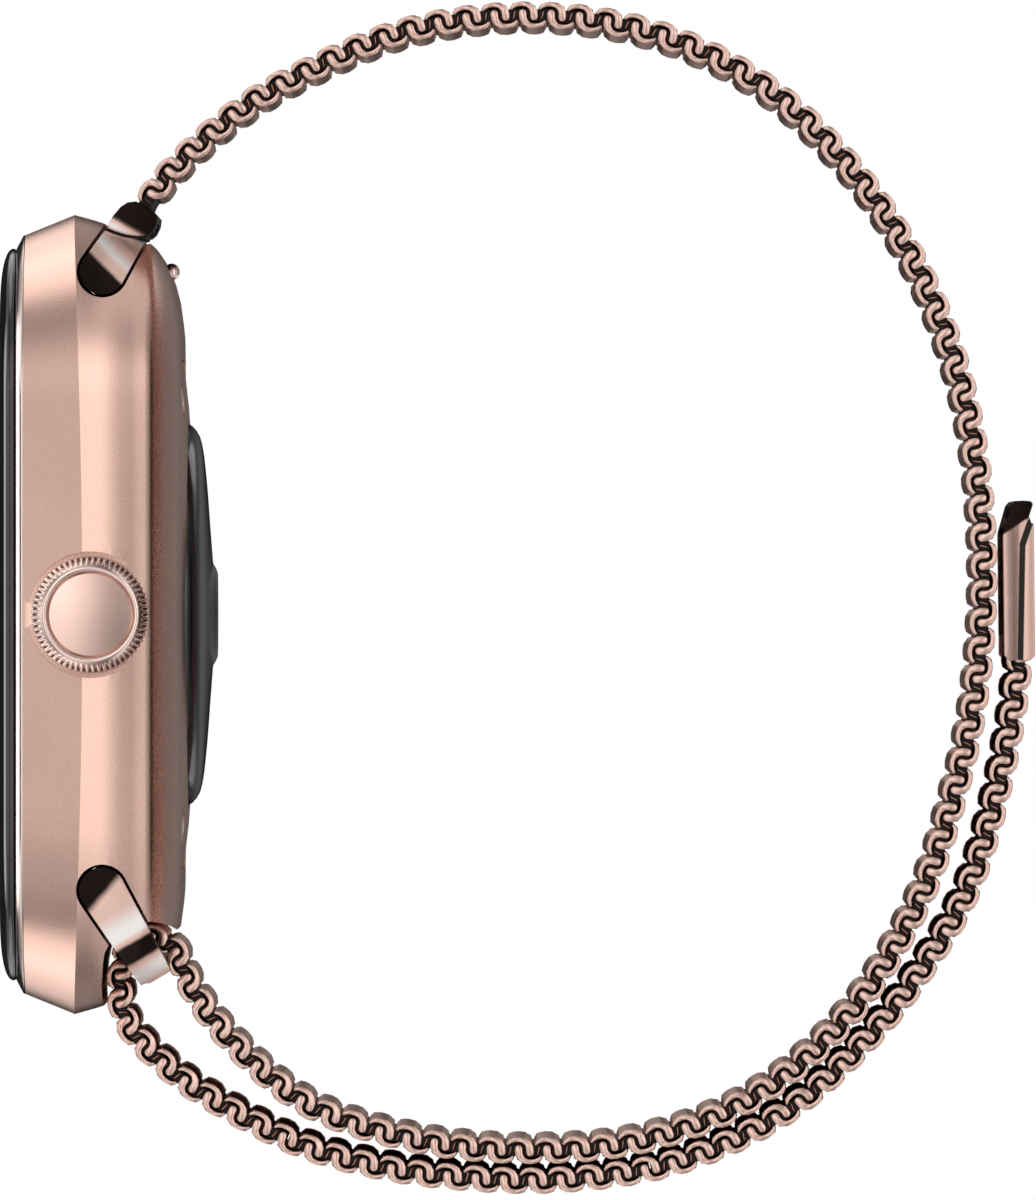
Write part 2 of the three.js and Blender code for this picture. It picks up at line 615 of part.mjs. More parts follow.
function addCrown() {
  const rear = crownFace - crownHeight;
  const rim = capRadius + 0.06;
  piece('crown_knurled_ring', turnedX([
    [1.95, rear], [crownRadius - 0.12, rear], [crownRadius, rear + 0.14], [crownRadius, crownFace - 0.75],
    [rim + 0.18, crownFace - 0.14], [rim, crownFace - 0.14], [rim, rear + 1.2], [1.95, rear + 1.2],
    [1.95, rear],
  ], 40), roseMatte);
  piece('crown_cap', turnedX([
    [0, rear], [1.88, rear], [1.88, rear + 1.26], [capRadius, rear + 1.26], [capRadius, crownFace - 0.16],
    [capRadius - 0.15, crownFace - 0.06], [1.3, crownFace - 0.015], [0, crownFace],
  ], 32), rosePolished);
  const stemEnd = switchFace + crownTravel + 0.1;
  piece('crown_stem', turnedX([
    [0, stemEnd], [stemRadius, stemEnd], [stemRadius, rear - seam], [0, rear - seam]], 24), steel);
  const wall = caseWidth / 2 - sideWall;
  const bushOuter = rear - crownTravel - 0.3;
  const groove = 1.3;
  const flange = wall - 1.1;
  piece('crown_bush', turnedX([
    [stemRadius + 0.08, flange], [bushRadius + 0.25, flange], [bushRadius + 0.25, flange + 0.35],
    [bushRadius, flange + 0.35], [bushRadius, bushOuter], [groove, bushOuter],
    [groove, bushOuter - 0.55], [stemRadius + 0.08, bushOuter - 0.55], [stemRadius + 0.08, flange],
  ], 20), steel);
  const seal = 0.18;
  const sealPlace = bushOuter - 0.27;
  const sealProfile = Array.from({ length: 7 }, (_, i) => {
    const angle = -2 * Math.PI * (i % 6) / 6;
    return [stemRadius + 0.04 + seal * (1 + Math.cos(angle)), sealPlace - seal * Math.sin(angle)];
  });
  piece('crown_o_ring', turnedX(sealProfile, 20), rubber);
  const washer = flange - 0.4;
  piece('crown_washer', turnedX([
    [stemRadius + 0.07, washer], [1.75, washer], [1.75, washer + 0.3], [stemRadius + 0.07, washer + 0.3],
    [stemRadius + 0.07, washer],
  ], 24), steel);
  piece('crown_spring', springY(1.3, 0.13, switchFace + 0.05, washer - 0.05, 3)
    .rotateZ(-Math.PI / 2).translate(0, crownDepth, 0), steel);
  piece('crown_switch', softBlock([switchFace - switchDepth, crownDepth - 1.3, -1.7],
    [switchFace, crownDepth + 1.9, 1.7], 0.3), blackPlastic);
}

// ---------------------------------------------------------------- release buttons

function addRelease(end, button, lug) {
  const place = buttonAxis(button);
  const reach = channelDistance(button, lug);
  const tip = reach - 0.32;
  piece(`release_button_${end}`, place(turnedY([
    [0, -tip], [buttonStem, -tip], [buttonStem, -0.55], [buttonRadius, -0.55],
    [buttonRadius, button.proud - 0.42], [buttonRadius * 0.86, button.proud - 0.18],
    [buttonRadius * 0.5, button.proud - 0.05],
    [0, button.proud],
  ], 20)), rosePolished);
  piece(`release_spring_${end}`, place(springY(0.42, 0.06, -buttonBore + 0.04, -0.58, 2)), steel);
}

/** Pocket in a lug that takes its latch leaf, or the leaf itself: a strip with a nub. */
function latch(button, lug, grow) {
  const place = buttonAxis(button);
  const reach = channelDistance(button, lug);
  const stripTop = -reach - 0.5;
  const strip = solid(place(block(
    [-latchHalfLength - grow, stripTop - latchThickness - grow, -latchHalfWidth - grow],
    [latchHalfLength + grow, stripTop + grow, latchHalfWidth + grow])));
  const nubTip = grow > 0 ? -reach + 0.6 : -reach + 0.2;
  const nub = solid(place(turnedY([[0, stripTop - 0.1], [nubRadius + grow, stripTop - 0.1],
    [nubRadius + grow, nubTip], [0, nubTip]], 12)));
  return strip.add(nub);
}

// ---------------------------------------------------------------- band

function addTopLug() {
  const carrier = new THREE.Group();
  watch.add(carrier);
  const line = [[2.04, -1.25], [2.1, -0.6], [2.24, 0], [2.5, 0.6], [2.86, 1.25]];
  const pin = lugPoint(topLug, pinReach);
  const lugShape = [
    ...lugOutline(topLug).slice(0, lugSegments + 1),
    ...line.map(([along, side]) => lugPoint(topLug, along, THREE.MathUtils.clamp(
      side, -topLug.throat - 0.03, topLug.throat))),
  ];
  const half = knuckleWidth / 2;
  const web = [[1.6, -0.5], [1.6, 0.5], [pinReach, 0.6], [pinReach + 0.55, 0.3], [pinReach + 0.6, 0],
    [pinReach + 0.55, -0.3], [pinReach, -0.6]].map(([along, side]) => lugPoint(topLug, along, side));
  let lug = solid(across(lugShape, -farOut, farOut)).intersect(caseSkin(0.04));
  lug = lug.add(solid(across(web.reverse(), -half, half)));
  lug = lug.subtract(solid(rodX(pinRadius + 0.07, -12, 12, pin[0], pin[1], 12)));
  lug = lug.subtract(latch(topButton, topLug, 0.12));
  piece('connector_top', lug, rosePolished, carrier);
  piece('latch_leaf_top', latch(topButton, topLug, 0), steel, carrier);
  const pinEnd = bandWidth / 2 - 1;
  piece('end_pin', rodX(pinRadius, -pinEnd, pinEnd, pin[0], pin[1], 12), steel, carrier);

  const gap = 0.13;
  const linkShape = [
    ...line.map(([along, side]) => [along + gap, THREE.MathUtils.clamp(side, -1.13, 1.17)]),
    [3.6, 1.2], [4.19, 1.03], [4.34, 0.5], [4.36, 0], [4.24, -0.52], [3.7, -0.98], [2.95, -1.15],
  ].map(([along, side]) => lugPoint(topLug, along, side));
  const slot = [[0, -1.8], [0, 1.8], [pinReach + 0.3, 1.8], [pinReach + 0.72, 0.4], [pinReach + 0.76, 0],
    [pinReach + 0.72, -0.4], [pinReach + 0.3, -1.8]].map(([along, side]) => lugPoint(topLug, along, side));
  let link = solid(across(linkShape, -bandWidth / 2, bandWidth / 2));
  link = link.subtract(solid(across(slot.reverse(), -half - 0.2, half + 0.2)));
  link = link.subtract(solid(rodX(pinRadius + 0.07, -bandWidth / 2 + 0.85, bandWidth / 2 - 0.85,
    pin[0], pin[1], 12)));
  piece('end_link', link, rosePolished, carrier);
}

function addLoop() {
  const halfWindow = bandWidth / 2 + 0.35;
  const windowFrom = 2.2;
  const window = across([[windowFrom, -3], [windowFrom, 3], [9, 3], [9, -3]]
    .map(([along, side]) => lugPoint(loopLug, along, side)), -halfWindow, halfWindow);
  let frame = solid(across([...lugOutline(loopLug)].reverse(), -farOut, farOut)).intersect(caseSkin(0.04));
  frame = frame.subtract(solid(window));
  frame = frame.add(solid(rodX(loopBar, -halfWindow - 0.5, halfWindow + 0.5, ...barCentre, 16)));
  frame = frame.subtract(latch(loopButton, loopLug, 0.12));
  piece('loop_frame', frame, rosePolished);
  piece('latch_leaf_bottom', latch(loopButton, loopLug, 0), steel);
}

/** One stretch of the woven strand, between two distances along it. */
function strandPiece(name, from, to, step = rowPitch) {
  const half = bandWidth / 2;
  piece(name, across(strandOutline(from + cutGap / 2, to - cutGap / 2, step), -half, half), roseMesh);
}

function addStrand() {
  const stops = [0, ...strandHinges.map((row) => row * rowPitch)];
  for (let i = 0; i < 3; i += 1) strandPiece(`strand_${i + 1}`, stops[i], stops[i + 1]);
  const middle = (stops[3] + strandLength) / 2;
  strandPiece('strand_4', stops[3], middle);
  strandPiece('strand_5', middle, strandLength - 1.2);
  strandPiece('strand_fold', strandLength - 1.2, foldEnd + tailHinges[0] * rowPitch, 0.45);
}

function addTail() {
  const stops = tailHinges.map((row) => foldEnd + row * rowPitch);
  const end = bandLength - claspLength + 1.2;
  [...stops.slice(1), end].forEach((stop, i) => strandPiece(`tail_${i + 1}`, stops[i], stop));
}

function addClasp() {
  const half = claspThickness / 2;
  const end = wayPoint(bandWay, bandLength);
  const before = wayPoint(bandWay, bandLength - claspLength);
  const angle = Math.atan2(end[1] - before[1], end[0] - before[0]);
  const clasp = new THREE.Group();
  clasp.position.set(0, before[0], before[1]);
  clasp.rotation.x = angle;
  watch.add(clasp);
  const pocket = bandThickness / 2 + 0.1;
  const edge = claspWidth / 2;
  const coverShape = [[0, -0.05], [0, -half], [0.25, -half - 0.02], [claspLength - 0.45, -half - 0.02],
    [claspLength, -half + 0.5], [claspLength - 0.25, -0.1], [claspLength - 0.9, -0.05]];
  const plateShape = [[0, 0.05], [claspLength - 0.95, 0.05], [claspLength - 0.3, 0.0],
    [claspLength - 0.12, half - 0.35], [claspLength - 0.5, half], [0.3, half], [0, half - 0.25]];
  const strandPocket = block([-edge + 0.25, -1, -pocket], [edge - 0.25, 1.35, pocket]);
  const magnetSize = [7.4, 0.95, 2.1];
  const magnetFrom = 2.2;
  const magnetPocket = block([-magnetSize[0] - 0.08, magnetFrom - 0.08, -0.3],
    [magnetSize[0] + 0.08, magnetFrom + magnetSize[2] * 2 + 0.08, half - 0.28]);
  const cover = solid(across(coverShape, -edge, edge)).subtract(solid(strandPocket));
  const base = solid(across(plateShape, -edge, edge)).subtract(solid(strandPocket))
    .subtract(solid(magnetPocket));
  piece('clasp_cover', cover, rosePolished, clasp);
  piece('clasp_plate', base, rosePolished, clasp);
  piece('clasp_magnet', block([-magnetSize[0], magnetFrom, 0.06], [magnetSize[0],
    magnetFrom + magnetSize[2] * 2, half - 0.34]), steel, clasp);
}

// ---------------------------------------------------------------- assembly

piece('case_body', caseBody(), roseMatte);
addFront();
addInside();
addBack();
addSensor();
addCrown();
addRelease('top', topButton, topLug);
addRelease('bottom', loopButton, loopLug);
addTopLug();
addLoop();
addStrand();
addTail();
addClasp();

export default watch;
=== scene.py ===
"""Smartwatch with a woven metal loop band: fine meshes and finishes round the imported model.

Lengths are written in millimetres and made metres by MM where a mesh is finished. +Z runs to 12 o'clock,
+X to the crown side and -Y out of the display; the origin is on the sensor dome.
"""
import logging
import math
from dataclasses import dataclass, field
from enum import Enum

import bmesh
import bpy
from mathutils import Matrix, Vector


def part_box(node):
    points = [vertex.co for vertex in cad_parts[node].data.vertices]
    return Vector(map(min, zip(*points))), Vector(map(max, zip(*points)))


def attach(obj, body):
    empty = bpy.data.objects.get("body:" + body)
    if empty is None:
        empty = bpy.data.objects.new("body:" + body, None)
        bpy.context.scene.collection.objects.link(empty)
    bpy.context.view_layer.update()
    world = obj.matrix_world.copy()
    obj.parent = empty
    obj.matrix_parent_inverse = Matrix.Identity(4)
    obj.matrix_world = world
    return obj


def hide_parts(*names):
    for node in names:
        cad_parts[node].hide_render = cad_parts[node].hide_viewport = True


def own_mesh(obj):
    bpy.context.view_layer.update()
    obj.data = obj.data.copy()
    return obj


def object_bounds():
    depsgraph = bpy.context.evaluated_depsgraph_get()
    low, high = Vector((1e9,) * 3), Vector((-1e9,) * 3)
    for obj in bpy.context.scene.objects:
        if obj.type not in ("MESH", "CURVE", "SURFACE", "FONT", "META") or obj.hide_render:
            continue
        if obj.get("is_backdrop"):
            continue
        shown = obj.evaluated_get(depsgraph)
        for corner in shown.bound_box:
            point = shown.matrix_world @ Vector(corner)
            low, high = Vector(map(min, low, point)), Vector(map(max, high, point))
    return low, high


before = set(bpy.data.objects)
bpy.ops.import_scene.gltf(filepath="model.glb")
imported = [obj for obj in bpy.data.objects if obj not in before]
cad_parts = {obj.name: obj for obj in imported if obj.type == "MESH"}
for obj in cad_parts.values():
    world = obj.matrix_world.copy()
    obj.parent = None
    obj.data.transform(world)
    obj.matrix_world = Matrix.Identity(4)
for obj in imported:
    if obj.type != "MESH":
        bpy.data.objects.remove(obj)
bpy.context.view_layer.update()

log = logging.getLogger("smartwatch")
MM = 0.001
Point = tuple[float, float]


# ------------------------------------------------------------------------------ shader maths


class Wire:
    """An output socket in a node tree, with arithmetic that adds Math nodes."""

    def __init__(self, graph: "Graph", socket: bpy.types.NodeSocket) -> None:
        """Wrap a socket.

        Args:
            graph: The tree that the socket belongs to.
            socket: The output socket.
        """
        self.graph = graph
        self.socket = socket

    def math(self, operation: str, *others: "Wire | float", swapped: bool = False) -> "Wire":
        """Add a Math node.

        Args:
            operation: The node's operation, such as MULTIPLY.
            others: The other operands.
            swapped: Puts this value last.

        Returns:
            The node's result.
        """
        operands = (*others, self) if swapped else (self, *others)
        node = self.graph.add("ShaderNodeMath", {"operation": operation}, dict(enumerate(operands)))
        return Wire(self.graph, node.outputs[0])

    def __add__(self, other: "Wire | float") -> "Wire":
        """Sum."""
        return self.math("ADD", other)

    def __radd__(self, other: float) -> "Wire":
        """Sum with a number first."""
        return self.math("ADD", other, swapped=True)

    def __sub__(self, other: "Wire | float") -> "Wire":
        """Difference."""
        return self.math("SUBTRACT", other)

    def __rsub__(self, other: float) -> "Wire":
        """Difference with a number first."""
        return self.math("SUBTRACT", other, swapped=True)

    def __mul__(self, other: "Wire | float") -> "Wire":
        """Product."""
        return self.math("MULTIPLY", other)

    def __rmul__(self, other: float) -> "Wire":
        """Product with a number first."""
        return self.math("MULTIPLY", other, swapped=True)

    def __truediv__(self, other: "Wire | float") -> "Wire":
        """Quotient."""
        return self.math("DIVIDE", other)

    def __pow__(self, other: float) -> "Wire":
        """Power."""
        return self.math("POWER", other)

    def step(self, low: float, high: float) -> "Wire":
        """Smooth step.

        Args:
            low: Value at which the result leaves 0.
            high: Value at which it reaches 1; below low, the step falls instead.

        Returns:
            A value from 0 to 1.
        """
        node = self.graph.add("ShaderNodeMapRange", {"interpolation_type": "SMOOTHSTEP"},
                              {"Value": self, "From Min": low, "From Max": high})
        return Wire(self.graph, node.outputs["Result"])


class Graph:
    """The node tree of a material or a world."""

    def __init__(self, tree: bpy.types.NodeTree) -> None:
        """Empty a node tree.

        Args:
            tree: The tree.
        """
        self.tree = tree
        tree.nodes.clear()

    def add(self, kind: str, settings: dict | None = None, inputs: dict | None = None) -> bpy.types.Node:
        """Add a node.

        Args:
            kind: The node's type.
            settings: Its properties, and "stops" for a ramp's positions and values.
            inputs: Values or wires for its sockets, by name or number.

        Returns:
            The node.
        """
        node = self.tree.nodes.new(kind)
        for name, value in (settings or {}).items():
            if name == "stops":
                self._set_stops(node.color_ramp, value)
            else:
                setattr(node, name, value)
        for key, value in (inputs or {}).items():
            if isinstance(value, Wire):
                self.tree.links.new(value.socket, node.inputs[key])
            else:
                node.inputs[key].default_value = value
        return node

    @staticmethod
    def _set_stops(ramp: bpy.types.ColorRamp, stops: list[tuple[float, float]]) -> None:
        """Set a ramp's stops.

        Args:
            ramp: The ramp.
            stops: Positions and grey values, in rising order.
        """
        while len(ramp.elements) < len(stops):
            ramp.elements.new(1.0)
        for element, (place, value) in zip(ramp.elements, stops):
            element.position = place
            element.color = (value, value, value, 1.0)

    def wire(self, kind: str, settings: dict | None = None, inputs: dict | None = None,
             output: str | int = 0) -> Wire:
        """Add a node and take one of its outputs.

        Args:
            kind: The node's type.
            settings: Its properties.
            inputs: Values or wires for its sockets.
            output: Name or number of the output.

        Returns:
            The output.
        """
        return Wire(self, self.add(kind, settings, inputs).outputs[output])

    def place(self, scale: tuple[float, float, float] = (1.0, 1.0, 1.0),
              turn: tuple[float, float, float] = (0.0, 0.0, 0.0)) -> Wire:
        """Object coordinates, scaled and turned.

        Args:
            scale: Scale along each axis.
            turn: Rotation in radians.

        Returns:
            The coordinates.
        """
        place = self.wire("ShaderNodeTexCoord", output="Object")
        return self.wire("ShaderNodeMapping", None, {"Vector": place, "Scale": scale, "Rotation": turn})

    def noise(self, place: Wire, size: float, detail: float = 3.0, rough: float = 0.55) -> Wire:
        """Noise whose features are about a given size.

        Args:
            place: Coordinates in metres.
            size: Feature size in millimetres.
            detail: Octaves.
            rough: Roughness of the octaves.

        Returns:
            A value near 0.5.
        """
        inputs = {"Vector": place, "Scale": 1.0 / (size * MM), "Detail": detail, "Roughness": rough}
        return self.wire("ShaderNodeTexNoise", None, inputs, "Fac")

    def mix(self, share: Wire, low: tuple[float, ...], high: tuple[float, ...] | Wire) -> Wire:
        """Mix two colours.

        Args:
            share: Share of the second colour.
            low: First colour.
            high: Second colour.

        Returns:
            The mixed colour.
        """
        if not isinstance(high, Wire):
            high = (*high, 1.0)
        return self.wire("ShaderNodeMix", {"data_type": "RGBA"},
                         {0: share, 6: low if isinstance(low, Wire) else (*low, 1.0), 7: high}, 2)

    def bump(self, height: Wire, painted_shade: float) -> Wire:
        """Bump from a height.

        Args:
            height: Height, about 0 to 1.
            painted_shade: Depth of the relief in millimetres.

        Returns:
            The normal.
        """
        return self.wire("ShaderNodeBump", None,
                         {"Strength": 1.0, "Distance": painted_shade * MM, "Height": height}, "Normal")

    def surface(self, fixed: dict, varying: dict) -> None:
        """Close the tree with a Principled shader.

        Args:
            fixed: Numbers and colours that are the same all over.
            varying: Wires for the sockets that vary.
        """
        shader = self.add("ShaderNodeBsdfPrincipled", None, {**fixed, **varying})
        self.add("ShaderNodeOutputMaterial", None, {"Surface": Wire(self, shader.outputs[0])})


# ------------------------------------------------------------------------------ finishes


Colour = tuple[float, float, float]


@dataclass(frozen=True)
class Finish:
    """A surface finish; each kind writes its own nodes."""

    name: str

    def write(self, graph: Graph) -> None:
        """Write the finish's nodes.

        Args:
            graph: An empty material tree.
        """
        raise NotImplementedError

    def material(self) -> bpy.types.Material:
        """The finish as a material, made once.

        Returns:
            The material.
        """
        known = bpy.data.materials.get(self.name)
        if known is not None:
            return known
        material = bpy.data.materials.new(self.name)
        material.use_nodes = True
        self.write(Graph(material.node_tree))
        return material


@dataclass(frozen=True)
class BlastedMetal(Finish):
    """Metal blasted with fine beads, plated, a little worn and clouded."""

    colour: Colour
    shade: Colour
    roughness: float = 0.34
    grain: float = 0.1
    relief: float = 0.011

    def write(self, graph: Graph) -> None:
        """Write grain, clouding and fine pits."""
        place = graph.place()
        grain = graph.noise(place, self.grain, 4.0, 0.7)
        cloud = graph.noise(place, 6.0, 2.0)
        speck = graph.noise(place, self.grain * 0.45, 2.0, 0.8)
        share = 0.7 + (grain - 0.5) * 0.7 + (cloud - 0.5) * 0.5
        graph.surface({"Metallic": 1.0}, {
            "Base Color": graph.mix(share, self.shade, self.colour),
            "Roughness": self.roughness + (grain - 0.5) * 0.1 + (cloud - 0.5) * 0.08,
            "Normal": graph.bump(grain * 0.65 + speck * 0.35, self.relief),
        })


@dataclass(frozen=True)
class KnurledMetal(Finish):
    """Turned metal with painted shade in its knurled grooves, round an axis along X."""

    colour: Colour
    # Colour of the painted shade in the grooves.
    groove: Colour
    painted_shade: float
    teeth: int
    inner: float
    roughness: float = 0.2

    def write(self, graph: Graph) -> None:
        """Write painted shade in the grooves, pointed at their inner ends, and fine turning marks."""
        place = graph.place()
        parts = graph.add("ShaderNodeSeparateXYZ", None, {0: place})
        painted_shade, height = (Wire(graph, parts.outputs[i]) for i in (1, 2))
        painted_shade = painted_shade - self.painted_shade * MM
        radius = (painted_shade * painted_shade + height * height) ** 0.5
        wave = (height.math("ARCTAN2", painted_shade) * float(self.teeth)).math("COSINE")
        reach = radius / MM - self.inner + (wave - 1.0) * 0.1
        grain = graph.noise(place, 0.09, 3.0, 0.7)
        # Where the painted groove shade is laid: in each groove, out from the inner radius.
        share = wave.step(-0.3, 0.7) * reach.step(0.0, 0.14)
        graph.surface({"Metallic": 1.0}, {
            "Base Color": graph.mix(share * 0.95 + (grain - 0.5) * 0.08, self.colour, self.groove),
            "Roughness": self.roughness + (grain - 0.5) * 0.1,
            "Normal": graph.bump(grain, 0.0015),
        })


@dataclass(frozen=True)
class PolishedMetal(Finish):
    """Polished, plated metal with hairlines along one direction and faint smears."""

    colour: Colour
    shade: Colour
    roughness: float = 0.1
    stretch: tuple[float, float, float] = (1.0, 1.0, 0.06)
    turn: tuple[float, float, float] = (0.0, 0.0, 0.0)
    line: float = 0.07
    relief: float = 0.0006

    def write(self, graph: Graph) -> None:
        """Write hairlines, smears and a slight change of tone."""
        lines = graph.noise(graph.place(self.stretch, self.turn), self.line, 3.0, 0.65)
        smear = graph.noise(graph.place(), 2.6, 3.0)
        tone = lines * 0.35 + smear * 0.65
        graph.surface({"Metallic": 1.0}, {
            "Base Color": graph.mix(tone.step(0.2, 0.8), self.shade, self.colour),
            "Roughness": self.roughness + smear * self.roughness * 0.7 + lines * self.roughness * 0.5,
            "Normal": graph.bump(lines, self.relief),
        })


@dataclass(frozen=True)
class ReflectionPaintedMetal(Finish):
    """Plated metal with reflections painted in bands across it: painted dark reflections and painted highlights.

    A band is a direction in depth and height, with stops along it: a distance in millimetres and a
    tone, 0 where a dark reflection is painted, 0.5 where it is plain and 1 where a highlight is painted.
    """

    bands: tuple[tuple[tuple[float, float], tuple[tuple[float, float], ...]], ...]
    roughness: float = 0.3
    plain: Colour = (0.86, 0.58, 0.49)
    painted_highlight: Colour = (1.0, 0.95, 0.92)
    painted_dark_reflection: Colour = (0.012, 0.006, 0.005)

    def write(self, graph: Graph) -> None:
        """Write the painted reflection bands, a little uneven, with fine hairlines."""
        place = graph.place()
        wander = (graph.noise(place, 0.8, 3.0) - 0.5) * (0.14 * MM)
        lines = graph.noise(graph.place((0.06, 1.0, 1.0)), 0.07, 3.0, 0.65)
        parts = graph.add("ShaderNodeSeparateXYZ", None, {0: place})
        painted_shade, height = (Wire(graph, parts.outputs[i]) for i in (1, 2))
        tone = None
        for (across, along), stops in self.bands:
            first, span = stops[0][0], stops[-1][0] - stops[0][0]
            where = (painted_shade * across + height * along + wander - first * MM) / (span * MM)
            band = graph.wire("ShaderNodeValToRGB", {"stops": [((a - first) / span, v) for a, v in stops]},
                              {0: where})
            tone = band if tone is None else tone * band
        tone = tone + (lines - 0.5) * 0.12
        # Tones below 0.5 paint dark reflections into the colour, tones above 0.5 paint highlights.
        colour = graph.mix(tone.step(0.5, 1.0), self.plain, self.painted_highlight)
        graph.surface({"Metallic": 0.5, "Specular IOR Level": 0.08}, {
            "Base Color": graph.mix(tone.step(0.0, 0.5), self.painted_dark_reflection, colour),
            "Roughness": self.roughness + (lines - 0.5) * 0.1,
            "Normal": graph.bump(lines, 0.0012),
        })


@dataclass(frozen=True)
class Glass(Finish):
    """Opaque dark glass or glossy cover with a film of dust and faint smears."""

    colour: Colour
    haze: float = 0.03
    rings: tuple[float, ...] = ()
    coat: float = 0.6

    def write(self, graph: Graph) -> None:
        """Write a deep dark body, smears in its gloss and, on a sensor, rings seen through it."""
        place = graph.place()
        smear = graph.noise(place, 5.0, 4.0, 0.6)
        dust = graph.noise(place, 0.25, 2.0, 0.5).step(0.66, 0.74)
        tint = smear * 0.4
        if self.rings:
            parts = graph.add("ShaderNodeSeparateXYZ", None, {0: place})
            across, along = (Wire(graph, parts.outputs[i]) for i in (0, 2))
            radius = (across * across + along * along) ** 0.5
            for ring in self.rings:
                tint = tint + (radius - ring * MM).math("ABSOLUTE").step(0.22 * MM, 0.12 * MM) * 1.6
        graph.surface({"Metallic": 0.0, "IOR": 1.52, "Coat Roughness": 0.02}, {
            "Base Color": graph.mix(tint, self.colour, tuple(c * 2.2 + 0.004 for c in self.colour)),
            "Roughness": self.haze + smear * 0.04 + dust * 0.12,
            "Coat Weight": self.coat + smear * 0.3,
            "Normal": graph.bump(smear, 0.0008),
        })


@dataclass(frozen=True)
class Moulded(Finish):
    """Moulded or pressed matter: plastic, rubber, foil or laminate with a fine texture."""

    colour: Colour
    shade: Colour
    roughness: float = 0.5
    metallic: float = 0.0
    grain: float = 0.16
    relief: float = 0.006

    def write(self, graph: Graph) -> None:
        """Write spark texture, uneven tone and rubbed spots."""
        place = graph.place()
        grain = graph.noise(place, self.grain, 3.0, 0.6)
        rubbed = graph.noise(place, 4.0, 3.0).step(0.5, 0.75)
        graph.surface({"Metallic": self.metallic}, {
            "Base Color": graph.mix(grain * 0.6 + rubbed * 0.4, self.shade, self.colour),
            "Roughness": self.roughness + (grain - 0.5) * 0.15 - rubbed * 0.08,
            "Normal": graph.bump(grain, self.relief),
        })


@dataclass(frozen=True)
class Circuit(Finish):
    """Circuit board: solder mask over copper tracks, with plated pads."""

    mask: Colour
    track: Colour
    pad: Colour

    def write(self, graph: Graph) -> None:
        """Write tracks as cell borders and pads as round spots."""
        place = graph.place()
        cells = graph.wire("ShaderNodeTexVoronoi", {"distance": "CHEBYCHEV", "feature": "F1"},
                           {"Vector": place, "Scale": 900.0, "Randomness": 0.35}, "Distance")
        spots = graph.wire("ShaderNodeTexVoronoi", {"feature": "F1"},
                           {"Vector": place, "Scale": 620.0, "Randomness": 0.8}, "Distance")
        track = cells.step(0.42, 0.5)
        pad = spots.step(0.2, 0.14)
        colour = graph.mix(pad, graph.mix(track, self.mask, self.track), self.pad)
        graph.surface({}, {
            "Base Color": colour,
            "Metallic": pad,
            "Roughness": 0.5 - pad * 0.2 - track * 0.08,
            "Normal": graph.bump(track * 0.6 + pad * 0.4, 0.02),
        })


ROSE = (0.90, 0.60, 0.50)
ROSE_DEEP = (0.74, 0.45, 0.37)


